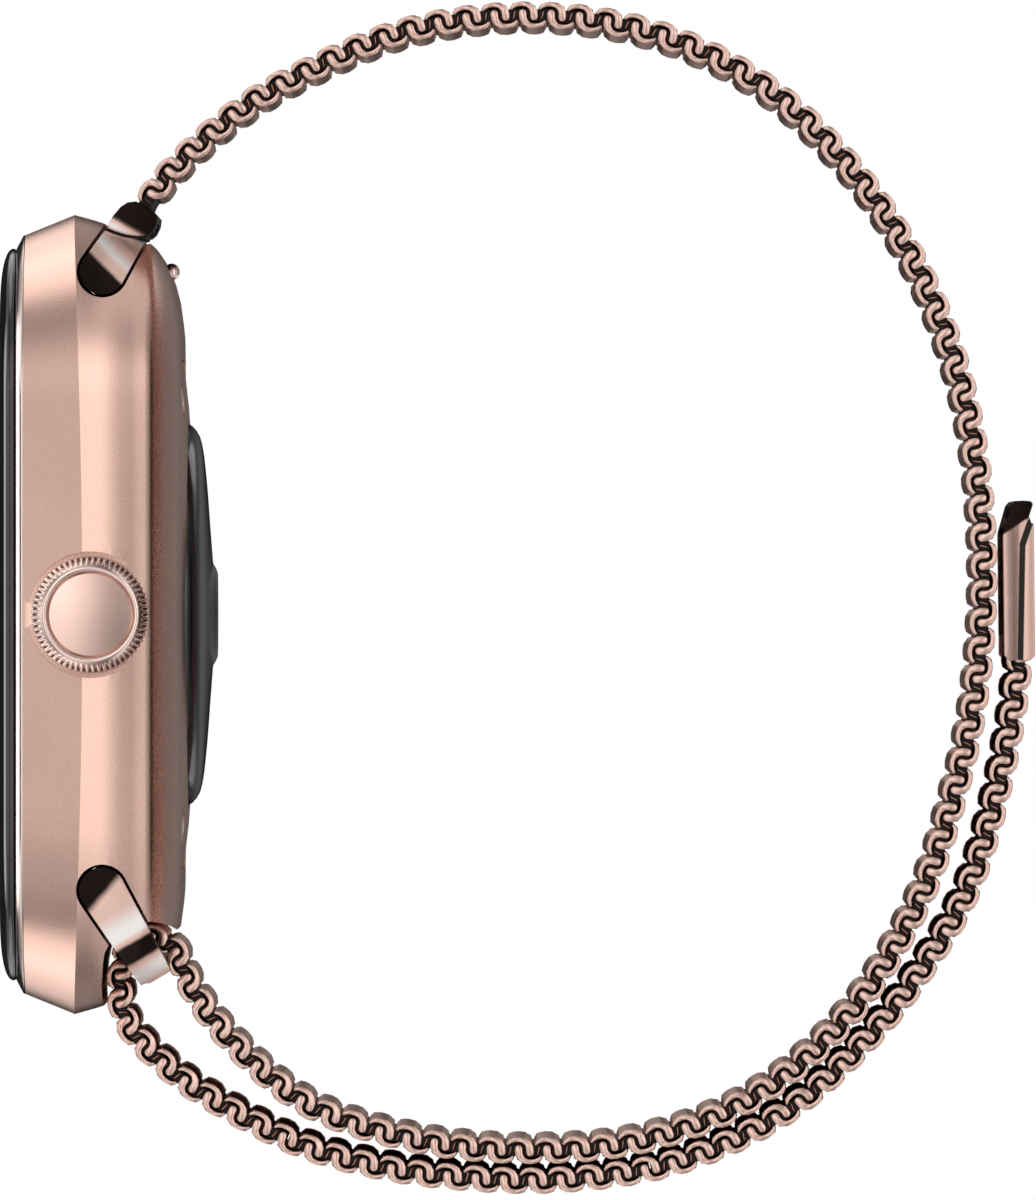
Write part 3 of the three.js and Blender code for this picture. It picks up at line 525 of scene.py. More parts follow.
class Finishes(Enum):
    """The finishes of this watch."""

    CASE = BlastedMetal("case_blasted", ROSE, ROSE_DEEP, 0.27, 0.12, 0.006)
    POLISHED = PolishedMetal("polished_rose", (0.95, 0.70, 0.61), (0.86, 0.58, 0.49), 0.09)
    BEZEL = PolishedMetal("bezel_polished", (0.97, 0.82, 0.76), (0.92, 0.74, 0.67), 0.08)
    CROWN = KnurledMetal("crown_knurled", (0.95, 0.72, 0.64), (0.10, 0.045, 0.035), -6.8, 60, 2.84, 0.22)
    CAP = BlastedMetal("crown_cap_satin", (0.93, 0.65, 0.56), (0.86, 0.58, 0.49), 0.24, 0.09, 0.002)
    MESH = BlastedMetal("mesh_wire", (0.93, 0.66, 0.57), (0.70, 0.42, 0.34), 0.3, 0.12, 0.01)
    # Near-black painted shade, for solids put in the weave's gaps, joints and seams where only shade falls.
    MESH_PAINTED_SHADE = Moulded("painted_shade_black", (0.012, 0.007, 0.006), (0.006, 0.003, 0.003), 0.7, 0.0, 0.3, 0.01)
    # Painted reflections on the clasp: darker bands along its depth and black past a line near one end.
    CLASP = ReflectionPaintedMetal("clasp_painted_reflections", (
        ((-0.54, 0.842), ((-21.0, 1.0), (-19.72, 1.0), (-19.6, 0.0), (-17.0, 0.0))),
        ((1.0, 0.011), ((42.5, 0.3), (43.4, 0.38), (43.6, 0.24), (43.9, 0.18), (44.15, 0.24), (44.35, 0.55),
                        (44.55, 0.45), (44.85, 0.35), (45.1, 0.45)))), 0.3)
    # Painted reflections on the top lug: black at the bulb end, then a painted highlight, a dark band and a bright
    # one.
    LUG_TOP = ReflectionPaintedMetal("lug_top_painted_reflections", (
        ((0.707, 0.707), ((8.0, 0.0), (9.08, 0.0), (9.34, 0.5), (9.7, 0.6), (10.0, 0.95), (10.35, 0.75),
                          (10.9, 0.3), (11.2, 0.4), (11.5, 0.85))),))
    # Painted reflections on the end link: a painted highlight on its lower strip and black over its top.
    LINK = ReflectionPaintedMetal("end_link_painted_reflections", (
        ((0.5, 0.866), ((14.5, 1.0), (15.55, 1.0), (15.8, 0.8), (16.05, 0.2), (16.25, 0.0), (18.0, 0.0))),))
    # Painted reflections on the loop frame: black at one end, with painted highlights and a black band across it.
    LOOP = ReflectionPaintedMetal("loop_frame_painted_reflections", (
        ((0.76, -0.65), ((4.0, 0.0), (5.1, 0.0), (5.6, 1.0), (15.0, 1.0))),
        ((0.507, -0.862), ((10.0, 0.52), (11.2, 0.55), (12.3, 0.95), (12.75, 0.98), (13.1, 0.4), (13.3, 0.0),
                           (14.1, 0.0), (14.55, 0.75), (15.0, 1.0), (15.35, 0.8), (15.65, 0.4)))))
    # Painted reflections on the top release knob: black round a painted highlight.
    KNOB = ReflectionPaintedMetal("release_knob_painted_reflections", (
        ((1.0, 0.0), ((-3.4, 0.0), (-2.72, 0.0), (-2.5, 1.0), (-2.26, 1.0), (-2.14, 0.0))),
        ((0.0, 1.0), ((18.58, 0.0), (18.7, 0.8), (18.9, 1.0), (19.05, 0.6), (19.25, 0.1), (19.4, 0.0)))), 0.15)
    COVER_GLASS = Glass("cover_glass_black", (0.006, 0.006, 0.007), 0.03)
    SENSOR = Glass("sensor_glass_black", (0.005, 0.005, 0.006), 0.05, (2.6, 5.4, 8.6), 0.0)
    BACK = BlastedMetal("back_cover_blasted", ROSE, ROSE_DEEP, 0.3, 0.12, 0.006)
    PLASTIC = Moulded("black_plastic", (0.035, 0.035, 0.038), (0.018, 0.018, 0.02), 0.5)
    RUBBER = Moulded("seal_rubber", (0.022, 0.022, 0.024), (0.012, 0.012, 0.013), 0.75)
    STEEL = Moulded("inner_steel", (0.62, 0.63, 0.65), (0.45, 0.46, 0.48), 0.32, 1.0, 0.3, 0.003)
    COPPER = Moulded("copper_wire", (0.80, 0.42, 0.24), (0.62, 0.30, 0.16), 0.34, 1.0, 0.12, 0.01)
    FOIL = Moulded("battery_foil", (0.42, 0.43, 0.45), (0.30, 0.31, 0.33), 0.4, 0.6, 0.6, 0.02)
    DISPLAY = Moulded("display_stack", (0.012, 0.012, 0.014), (0.006, 0.006, 0.007), 0.3)
    BOARD = Circuit("circuit_board", (0.010, 0.060, 0.032), (0.020, 0.110, 0.055), (0.83, 0.62, 0.30))


# ------------------------------------------------------------------------------ mesh making


class Maker:
    """A bmesh in millimetres, with the operations that the watch's pieces share."""

    def __init__(self) -> None:
        """Start an empty mesh."""
        self.bm = bmesh.new()

    def outline(self, points: list[Vector]) -> bmesh.types.BMFace:
        """One flat face.

        Args:
            points: Its corners in order.

        Returns:
            The face.
        """
        return self.bm.faces.new([self.bm.verts.new(point) for point in points])

    def prism(self, points: list[Point], x0: float, x1: float) -> "Maker":
        """Outline in depth and height, extruded across the watch.

        Args:
            points: Corners as depth and height.
            x0: First end.
            x1: Second end.

        Returns:
            This maker.
        """
        face = self.outline([Vector((x0, y, z)) for y, z in points])
        made = bmesh.ops.extrude_face_region(self.bm, geom=[face], use_keep_orig=True)["geom"]
        far = [item for item in made if isinstance(item, bmesh.types.BMVert)]
        bmesh.ops.translate(self.bm, verts=far, vec=(x1 - x0, 0.0, 0.0))
        return self.out()

    def loft(self, rings: list[list[Vector]], closed: bool = False) -> "Maker":
        """Skin bridged through rings of equally many points.

        Args:
            rings: The rings.
            closed: Joins the last ring to the first instead of capping both.

        Returns:
            This maker.
        """
        loops = []
        for ring in rings:
            verts = [self.bm.verts.new(point) for point in ring]
            loops.append([self.bm.edges.new((a, b)) for a, b in zip(verts, verts[1:] + verts[:1])])
        for near, far in zip(loops, loops[1:] + (loops[:1] if closed else [])):
            bmesh.ops.bridge_loops(self.bm, edges=near + far)
        if not closed:
            bmesh.ops.edgenet_fill(self.bm, edges=loops[0])
            bmesh.ops.edgenet_fill(self.bm, edges=loops[-1])
        return self.out()

    def turn(self, profile: list[Point], axis: str, steps: int, centre: Vector | None = None) -> "Maker":
        """Turned solid.

        Args:
            profile: Radius and station pairs; it starts and ends on the axis, or closes on itself.
            axis: X or Y.
            steps: Steps round.
            centre: A point on the axis.

        Returns:
            This maker.
        """
        middle = centre or Vector()
        if axis == "X":
            points = [middle + Vector((station, 0.0, radius)) for radius, station in profile]
            direction = Vector((1.0, 0.0, 0.0))
        else:
            points = [middle + Vector((0.0, station, radius)) for radius, station in profile]
            direction = Vector((0.0, 1.0, 0.0))
        verts = [self.bm.verts.new(point) for point in points]
        edges = [self.bm.edges.new(pair) for pair in zip(verts, verts[1:])]
        bmesh.ops.spin(self.bm, geom=verts + edges, cent=middle, axis=direction, dvec=(0.0, 0.0, 0.0),
                       angle=2.0 * math.pi, steps=steps, use_merge=True, use_duplicate=False)
        bmesh.ops.remove_doubles(self.bm, verts=self.bm.verts[:], dist=1e-4)
        return self.out()

    def soften(self, width: float, segments: int = 3, angle: float = 40.0) -> "Maker":
        """Round the edges that are sharper than an angle.

        Args:
            width: Width of the rounding.
            segments: Its segments.
            angle: Least angle between faces, in degrees.

        Returns:
            This maker.
        """
        least = math.radians(angle)
        edges = [e for e in self.bm.edges if e.is_manifold and e.calc_face_angle() > least]
        bmesh.ops.bevel(self.bm, geom=edges, offset=width, segments=segments, profile=0.5,
                        affect="EDGES", material=-1, clamp_overlap=True)
        return self

    def out(self) -> "Maker":
        """Turn the faces outwards.

        Returns:
            This maker.
        """
        bmesh.ops.recalc_face_normals(self.bm, faces=self.bm.faces[:])
        return self

    def mesh(self, name: str) -> bpy.types.Mesh:
        """The finished mesh, in metres.

        Args:
            name: Its name.

        Returns:
            The mesh.
        """
        mesh = bpy.data.meshes.new(name)
        bmesh.ops.scale(self.bm, vec=(MM, MM, MM), verts=self.bm.verts[:])
        self.bm.to_mesh(mesh)
        self.bm.free()
        return mesh


def carve(base: Maker, cutters: list[Maker], operation: str = "DIFFERENCE") -> Maker:
    """Cut solids out of a solid, or keep what they share.

    Args:
        base: The solid that is cut.
        cutters: The solids that cut it.
        operation: DIFFERENCE or INTERSECT.

    Returns:
        The result, in millimetres.
    """
    collection = bpy.context.scene.collection
    body = bpy.data.objects.new("carved", base.mesh("carved"))
    collection.objects.link(body)
    tools = []
    for cutter in cutters:
        tool = bpy.data.objects.new("cutter", cutter.mesh("cutter"))
        collection.objects.link(tool)
        cut = body.modifiers.new("cut", "BOOLEAN")
        cut.operation = operation
        cut.solver = "MANIFOLD"
        cut.object = tool
        tools.append(tool)
    bpy.context.view_layer.update()
    result = body.evaluated_get(bpy.context.evaluated_depsgraph_get())
    made = Maker()
    made.bm.from_mesh(result.to_mesh())
    result.to_mesh_clear()
    for item in [body, *tools]:
        mesh = item.data
        bpy.data.objects.remove(item)
        bpy.data.meshes.remove(mesh)
    bmesh.ops.scale(made.bm, vec=(1.0 / MM,) * 3, verts=made.bm.verts[:])
    bmesh.ops.remove_doubles(made.bm, verts=made.bm.verts[:], dist=1e-4)
    return made


@dataclass(frozen=True)
class Seat:
    """Where a finished piece belongs: its body, its slot and the solids that it stands for."""

    body: str
    slot: str
    nodes: tuple[str, ...] = ()


def finish_piece(name: str, maker: Maker, finish: Finishes, seat: Seat, crease: float = 32.0) -> bpy.types.Object:
    """Make a mesh an object of the watch.

    Args:
        name: The piece's name.
        maker: Its mesh.
        finish: Its finish.
        seat: Its body, slot and replaced solids.
        crease: Angle in degrees past which an edge stays sharp.

    Returns:
        The object.
    """
    limit = math.radians(crease)
    for face in maker.bm.faces:
        face.smooth = True
    for edge in maker.bm.edges:
        edge.smooth = not edge.is_manifold or edge.calc_face_angle() < limit
    mesh = maker.mesh(name)
    mesh.materials.append(finish.value.material())
    piece = bpy.data.objects.new(name, mesh)
    bpy.context.scene.collection.objects.link(piece)
    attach(piece, seat.body)
    if seat.nodes:
        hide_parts(*seat.nodes)
    log.info("%s: %d faces on %s", name, len(mesh.polygons), seat.body)
    return piece


# ------------------------------------------------------------------------------ ways and outlines


class Way:
    """Smooth curve through points in depth and height, measured along its length."""

    def __init__(self, points: list[Point], steps: int = 60) -> None:
        """Lay a centripetal curve through points.

        Args:
            points: The points.
            steps: Steps between two points.
        """
        stations = [Vector(point) for point in points]
        first = stations[0] * 2.0 - stations[1]
        last = stations[-1] * 2.0 - stations[-2]
        run = [first, *stations, last]
        self.places = [stations[0]]
        for a, b, c, d in zip(run, run[1:], run[2:], run[3:]):
            self.places.extend(self._between(a, b, c, d, (i + 1) / steps) for i in range(steps))
        self.stops = [0.0]
        for near, far in zip(self.places, self.places[1:]):
            self.stops.append(self.stops[-1] + (far - near).length)

    @staticmethod
    def _between(a: Vector, b: Vector, c: Vector, d: Vector, share: float) -> Vector:
        """Point of the curve between its second and third control points.

        Args:
            a: Point before.
            b: Start point.
            c: End point.
            d: Point after.
            share: Share of the way from start to end.

        Returns:
            The point.
        """
        before, span, after = ((q - p).length ** 0.5 for p, q in ((a, b), (b, c), (c, d)))
        leave = ((b - a) / before - (c - a) / (before + span) + (c - b) / span) * span
        arrive = ((c - b) / span - (d - b) / (span + after) + (d - c) / after) * span
        s2, s3 = share ** 2, share ** 3
        return (b * (2.0 * s3 - 3.0 * s2 + 1.0) + leave * (s3 - 2.0 * s2 + share)
                + c * (3.0 * s2 - 2.0 * s3) + arrive * (s3 - s2))

    @property
    def length(self) -> float:
        """Length of the way."""
        return self.stops[-1]

    def at(self, distance: float, offset: float = 0.0) -> Point:
        """Point at a distance along the way, moved to its left.

        Args:
            distance: Distance from the start; past an end the way runs on straight.
            offset: How far to the left.

        Returns:
            The point.
        """
        low, high = 0, len(self.stops) - 1
        while high - low > 1:
            middle = (low + high) // 2
            if self.stops[middle] > distance:
                high = middle
            else:
                low = middle
        near, far = self.places[low], self.places[high]
        along = (far - near).normalized()
        point = near + along * (distance - self.stops[low])
        before = self.places[max(low - 3, 0)]
        after = self.places[min(high + 3, len(self.places) - 1)]
        tangent = (after - before).normalized()
        return point.x - offset * tangent.y, point.y + offset * tangent.x


@dataclass(frozen=True)
class Lug:
    """A band lug's own frame in the end of the case."""

    from_end: float
    lean: float
    reach: float
    throat: float
    up: int
    bulb: float = 1.3
    painted_shade: float = -6.18
    case_length: float = 44.0

    def at(self, along: float, side: float = 0.0) -> Point:
        """Point of the lug in depth and height.

        Args:
            along: Distance along its lean from the bulb's centre.
            side: Distance across it.

        Returns:
            The point.
        """
        lean = math.radians(self.lean)
        centre = self.up * (self.case_length / 2 - self.from_end)
        return (self.painted_shade + along * math.sin(lean) + side * math.cos(lean),
                centre + self.up * (along * math.cos(lean) - side * math.sin(lean)))

    def bulb_arc(self, grow: float = 0.0, steps: int = 24) -> list[Point]:
        """Points round the bulb's far side.

        Args:
            grow: Growth of the outline.
            steps: Steps of the arc.

        Returns:
            The points.
        """
        radius = self.bulb + grow
        turns = [math.pi / 2 + math.pi * i / steps for i in range(steps + 1)]
        return [self.at(radius * math.cos(turn), radius * math.sin(turn)) for turn in turns]

    def outline(self, grow: float = 0.0, reach: float | None = None) -> list[Point]:
        """Bulb and its shank.

        Args:
            grow: Growth of the outline.
            reach: How far the shank runs on past the throat.

        Returns:
            The points.
        """
        points = self.bulb_arc(grow)
        points.append(self.at(self.reach, -self.throat - grow))
        if reach is not None:
            points.append(self.at(reach, -self.throat - grow))
            points.append(self.at(reach, self.throat + grow))
        points.append(self.at(self.reach, self.throat + grow))
        return points


TOP_LUG = Lug(from_end=3.2, lean=30.0, reach=2.46, throat=1.16, up=1)
LOOP_LUG = Lug(from_end=6.9, lean=30.5, reach=5.75, throat=1.0, up=-1)


def circle(centre: Point, radius: float, steps: int = 24) -> list[Point]:
    """Round outline in depth and height.

    Args:
        centre: Its centre.
        radius: Its radius.
        steps: Its corners.

    Returns:
        The points.
    """
    turns = [2.0 * math.pi * i / steps for i in range(steps)]
    return [(centre[0] + radius * math.cos(t), centre[1] + radius * math.sin(t)) for t in turns]


@dataclass
class BandLine:
    """The way of the woven strand: round the wrist, through the loop and back over itself."""

    thickness: float = 1.5
    pitch: float = 1.56
    gap: float = 0.13
    width: float = 20.0
    bar: float = 0.55
    bar_reach: float = 5.0
    slack: float = 0.32
    clasp: float = 9.0
    clasp_overlap: float = 1.2
    start: Point = field(default_factory=lambda: TOP_LUG.at(4.62, 0.12))
    wrist: list[Point] = field(default_factory=lambda: [
        (-3.1, 23.75), (-1.0, 25.9), (1.6, 28.0), (4.5, 29.7), (10.6, 32.2), (17.3, 33.0), (23.9, 32.1),
        (29.9, 29.3), (34.7, 24.9), (38.3, 19.7), (40.6, 14.2), (41.8, 8.8), (42.25, 2.1), (41.8, -4.4),
        (40.7, -9.7), (38.6, -16.0), (34.6, -22.3), (29.5, -26.6), (23.6, -28.9), (17.3, -29.5),
        (10.9, -28.9), (4.9, -26.9), (0.3, -22.9), (-1.5, -20.3)])
    lift: list[Point] = field(default_factory=lambda: [
        (3, 1.9), (5.2, 1.1), (7.6, 0.5), (10, 0.25), (12.5, 0.05), (16, 0), (20, 0), (24, 0), (28, 0.02),
        (31, 0.3), (33.5, 0.6), (37, 0.62), (41, 0.55), (44, 0.42), (47, 0.4)])
    strand_hinges: tuple[float, ...] = (26, 44, 56)
    tail_hinges: tuple[float, ...] = (2.5, 9, 15.5, 22, 28.5, 35)

    def __post_init__(self) -> None:
        """Lay the way."""
        radius = self.bar + self.slack + self.thickness / 2
        centre = LOOP_LUG.at(self.bar_reach)
        self.fold = [(centre[0] + radius * math.cos(math.radians(a)),
                      centre[1] + radius * math.sin(math.radians(a))) for a in (20, 55, 90, 125, 160, 185)]
        strand = Way([self.start, *self.wrist, self.fold[0]])
        self.strand_length = strand.length
        self.fold_end = strand.length + radius * math.radians(165)
        drop = [(self.fold[5][0] - 0.05, centre[1] - 1.5), (self.fold[5][0] + 0.35, centre[1] - 3.1)]
        tail = [strand.at(strand.length - row * self.pitch, self.thickness + self.gap + rise)
                for row, rise in self.lift]
        self.way = Way([self.start, *self.wrist, *self.fold, *drop, *tail])

    def outline(self, start: float, end: float, step: float, thickness: float) -> list[Point]:
        """Outline of a stretch of the strand.

        Args:
            start: Distance at which it starts.
            end: Distance at which it ends.
            step: Length of a step.
            thickness: Its thickness.

        Returns:
            The points.
        """
        count = max(2, round((end - start) / step))
        stops = [start + (end - start) * i / count for i in range(count + 1)]
        outer = [self.way.at(stop, thickness / 2) for stop in stops]
        return outer + [self.way.at(stop, -thickness / 2) for stop in reversed(stops)]


# ------------------------------------------------------------------------------ case


@dataclass
class CaseShell:
    """The case: one block of blasted metal, with a channel for the band across each end."""

    line: BandLine
    length: float = 44.0
    width: float = 37.0
    corner: float = 10.0
    front: tuple[float, float] = (-10.5, 1.1)
    ridge: tuple[float, float] = (-7.8, 0.55)
    back: list[tuple[float, float, float]] = field(default_factory=lambda: [
        (-6.1, 0.5, 0.35), (-4.3, 1.305, 0.1), (-3.55, 1.64, 0.1), (-3.2, 2.08, 0.0), (-2.9, 2.55, 0.0),
        (-2.4, 3.7, 0.0), (-2.1, 4.9, 0.0), (-1.9, 6.6, 0.0)])
    side_wall: float = 1.9
    top_wall: float = 5.1
    bottom_wall: float = 9.1
    cavity_front: float = -8.6
    cavity_back: float = -3.4
    recess: float = 2.05
    lug_gap: float = 0.12
    cover: tuple[float, float, float] = (25.4, 28.0, 5.0)
    cover_seat: float = -2.8
    dome: float = 10.6
    crown_depth: float = -6.8
    crown_radius: float = 3.24
    crown_sink: float = 17.5
    far: float = 24.5

    def outline(self, half_x: float, half_z: float, radius: float, steps: int = 16,
                extra: int = 14) -> list[Point]:
        """Rounded rectangle in x and z.

        Args:
            half_x: Half its width.
            half_z: Half its length.
            radius: Radius of its corners.
            steps: Steps of a corner.
            extra: Extra points along each long side.

        Returns:
            The points.
        """
        r = min(radius, half_x, half_z)
        points = []
        for corner, (sx, sz) in enumerate(((1, 1), (-1, 1), (-1, -1), (1, -1))):
            for i in range(steps + 1):
                turn = (corner + i / steps) * math.pi / 2
                points.append((sx * (half_x - r) + r * math.cos(turn), sz * (half_z - r) + r * math.sin(turn)))
            side = {1: -1, 3: 1}.get(corner, 0)
            for i in range(1, extra + 1 if side else 0):
                points.append((side * half_x, side * (half_z - r) * (2 * i / (extra + 1) - 1)))
        return points

    def ring(self, painted_shade: float, inset: float, bow: float = 0.0) -> list[Vector]:
        """Ring of the case's own outline.

        Args:
            painted_shade: Its depth at the ends.
            inset: How far it is drawn in.
            bow: How far it is deeper at mid side.

        Returns:
            The points.
        """
        half = self.length / 2 - inset
        points = self.outline(self.width / 2 - inset, half, max(self.corner - inset, 2.0))
        return [Vector((x, painted_shade + bow * (1.0 - (z / half) ** 2), z)) for x, z in points]

    def skin(self, shrink: float = 0.0, open_back: bool = False) -> Maker:
        """The case's outside as a solid.

        Args:
            shrink: How far it is drawn in all round.
            open_back: Runs the sides straight past the back, as a trimming shape.

        Returns:
            The solid.
        """
        painted_shade, inset = self.front
        ridge, bow = self.ridge
        curve = Way([(ridge, 0.0), *[(d, i) for d, i, _ in self.back]], 12)
        stops = [0.35, 0.8, 1.3, 1.9, 2.6, 3.3, 3.8, 4.2, 4.5, 4.7, 4.95, 5.2, 5.6, 6.2, 7.0, 8.0, 9.2]
        rings = [self.ring(painted_shade, inset + shrink), self.ring(ridge, shrink + 0.001, bow)]
        for stop in stops:
            if stop > curve.length or (open_back and stop > 4.3):
                continue
            d, i = curve.at(stop)
            fade = max(0.0, 1.0 - stop / 4.3)
            rings.append(self.ring(d, i + shrink, bow * fade))
        if open_back:
            rings.append(self.ring(1.0, 1.75 + shrink))
        else:
            d, i, _ = self.back[-1]
            rings.append(self.ring(d, i + shrink))
        return Maker().loft(rings)

    def plate(self, half_x: float, half_z: float, radius: float, front: float, back: float,
              middle: float = 0.0, shrink: float = 0.0) -> Maker:
        """Rounded block between two depths.

        Args:
            half_x: Half its width.
            half_z: Half its length.
            radius: Radius of its corners.
            front: Front depth.
            back: Back depth.
            middle: Height of its centre.
            shrink: How much narrower its back is on each side.

        Returns:
            The solid.
        """
        rings = []
        for painted_shade, less in ((front, 0.0), (back, shrink)):
            points = self.outline(half_x - less, half_z, radius, 8, 0)
            rings.append([Vector((x, painted_shade, z + middle)) for x, z in points])
        return Maker().loft(rings)

    def cutters(self) -> list[Maker]:
        """Everything that is cut out of the block.

        Returns:
            The cutting solids.
        """
        line, far = self.line, self.far
        half_z = (self.length - self.top_wall - self.bottom_wall) / 2
        half_x = self.width / 2 - self.side_wall
        middle = (self.bottom_wall - self.top_wall) / 2
        cover_x, cover_z, cover_corner = self.cover
        cuts = [Maker().loft([self.ring(-11.5, self.recess), self.ring(self.cavity_front, self.recess)])]
        cuts.append(self.plate(half_x, half_z, 4.0, self.cavity_front - 0.5, self.cavity_back, middle, 1.9))
        cuts.append(self.plate(cover_x / 2 + 0.08, cover_z / 2 + 0.08, cover_corner, self.cover_seat, 0.0))
        window = self.dome - 0.6
        cuts.append(Maker().turn([(0.0, self.cavity_back - 1.0), (window, self.cavity_back - 1.0),
                                  (window, 0.0), (0.0, 0.0)], "Y", 64))
        cuts.append(Maker().prism(TOP_LUG.outline(self.lug_gap, TOP_LUG.reach + 4.0), -far, far))
        cuts.append(Maker().prism(LOOP_LUG.outline(self.lug_gap, LOOP_LUG.reach + 4.0), -far, far))
        cuts.append(Maker().prism(circle(TOP_LUG.at(3.5), 1.62), -far, far))
        mouth = line.outline(line.strand_length - 3.2, line.fold_end + 4.5, 0.4,
                             line.thickness + 2 * line.gap + 0.15)
        cuts.append(Maker().prism(mouth, -far, far))
        legs = [line.way.at(line.strand_length - 3.2), line.way.at(line.strand_length), *line.fold[1:6],
                line.way.at(line.fold_end + 4.5)]
        cuts.append(Maker().prism(legs, -far, far))
        axis = Vector((0.0, self.crown_depth, 0.0))
        cuts.append(Maker().turn([(0.0, 10.0), (1.56, 10.0), (1.56, far), (0.0, far)], "X", 32, axis))
        sink = self.crown_radius + 0.22
        cuts.append(Maker().turn([(0.0, self.crown_sink), (sink, self.crown_sink), (sink, far), (0.0, far)],
                                 "X", 96, axis))
        for slot in (-4.2, 4.2):
            bar = [(-6.9, slot - 1.85), (-6.2, slot - 1.85), (-6.2, slot + 1.85), (-6.9, slot + 1.85)]
            cuts.append(Maker().prism(bar, -far, 2.4 - self.width / 2).soften(0.3, 4))
        return cuts

    def build(self) -> None:
        """Build and dress the case body."""
        shell = carve(self.skin(), self.cutters())
        finish_piece("case_shell", shell, Finishes.CASE, Seat("case", "case_matte", ("case_body",)), 28.0)
        # Painted shade: a thin black wall in each lug slot, behind the lug's bulb, so the gap round the lug shows
        # dark.
        for end, lug in (("top", TOP_LUG), ("bottom", LOOP_LUG)):
            wall = lug.bulb_arc(self.lug_gap + 0.02) + lug.bulb_arc(-0.035)[::-1]
            finish_piece(f"slot_painted_shade_{end}", Maker().prism(wall, -1.0, 1.0), Finishes.RUBBER,
                         Seat("case", "seal_rubber"))


@dataclass
class FrontFace:
    """The polished bezel and the cover glass with its rolled edge."""

    case: CaseShell
    chamfer: float = 0.7
    rise: float = 0.45
    band: float = 1.6
    glass: float = -11.9
    seam: float = 0.05

    def bezel(self) -> None:
        """Build the bezel ring."""
        painted_shade, inset = self.case.front
        seat = painted_shade - self.seam
        top = seat - self.rise
        outer = inset + self.chamfer
        inner = outer + self.band
        rings = [self.case.ring(top, outer + 0.08), self.case.ring(top + 0.03, outer)]
        rings += [self.case.ring(seat - 0.08, inset + 0.05), self.case.ring(seat, inset)]
        rings += [self.case.ring(seat, self.case.recess + 0.08), self.case.ring(-9.7, self.case.recess + 0.08)]
        rings += [self.case.ring(-9.7, inner), self.case.ring(top, inner)]
        finish_piece("bezel_polished", Maker().loft(rings, closed=True), Finishes.BEZEL,
                     Seat("case", "polished_metal", ("bezel_ring",)))

    def cover(self) -> None:
        """Build the cover glass."""
        top = self.case.front[0] - self.seam - self.rise
        edge = self.case.front[1] + self.chamfer + 0.05
        roll = 1.15
        fall = top - self.seam - self.glass
        rings = [self.case.ring(self.glass + 0.001, edge + 5.5), self.case.ring(self.glass + 0.004, edge + 4.2)]
        steps = 9
        for i in range(steps + 1):
            turn = math.pi / 2 * i / steps
            rings.append(self.case.ring(self.glass + 0.01 + (fall - 0.1) * (1.0 - math.cos(turn)),
                                        edge + 2.9 * (1.0 - math.sin(turn)) ** roll))
        rings.append(self.case.ring(self.glass + fall, edge + 0.05))
        finish_piece("cover_glass_rolled", Maker().loft(rings), Finishes.COVER_GLASS,
                     Seat("case", "cover_glass", ("cover_glass",)))

    def build(self) -> None:
        """Build both."""
        self.bezel()
        self.cover()


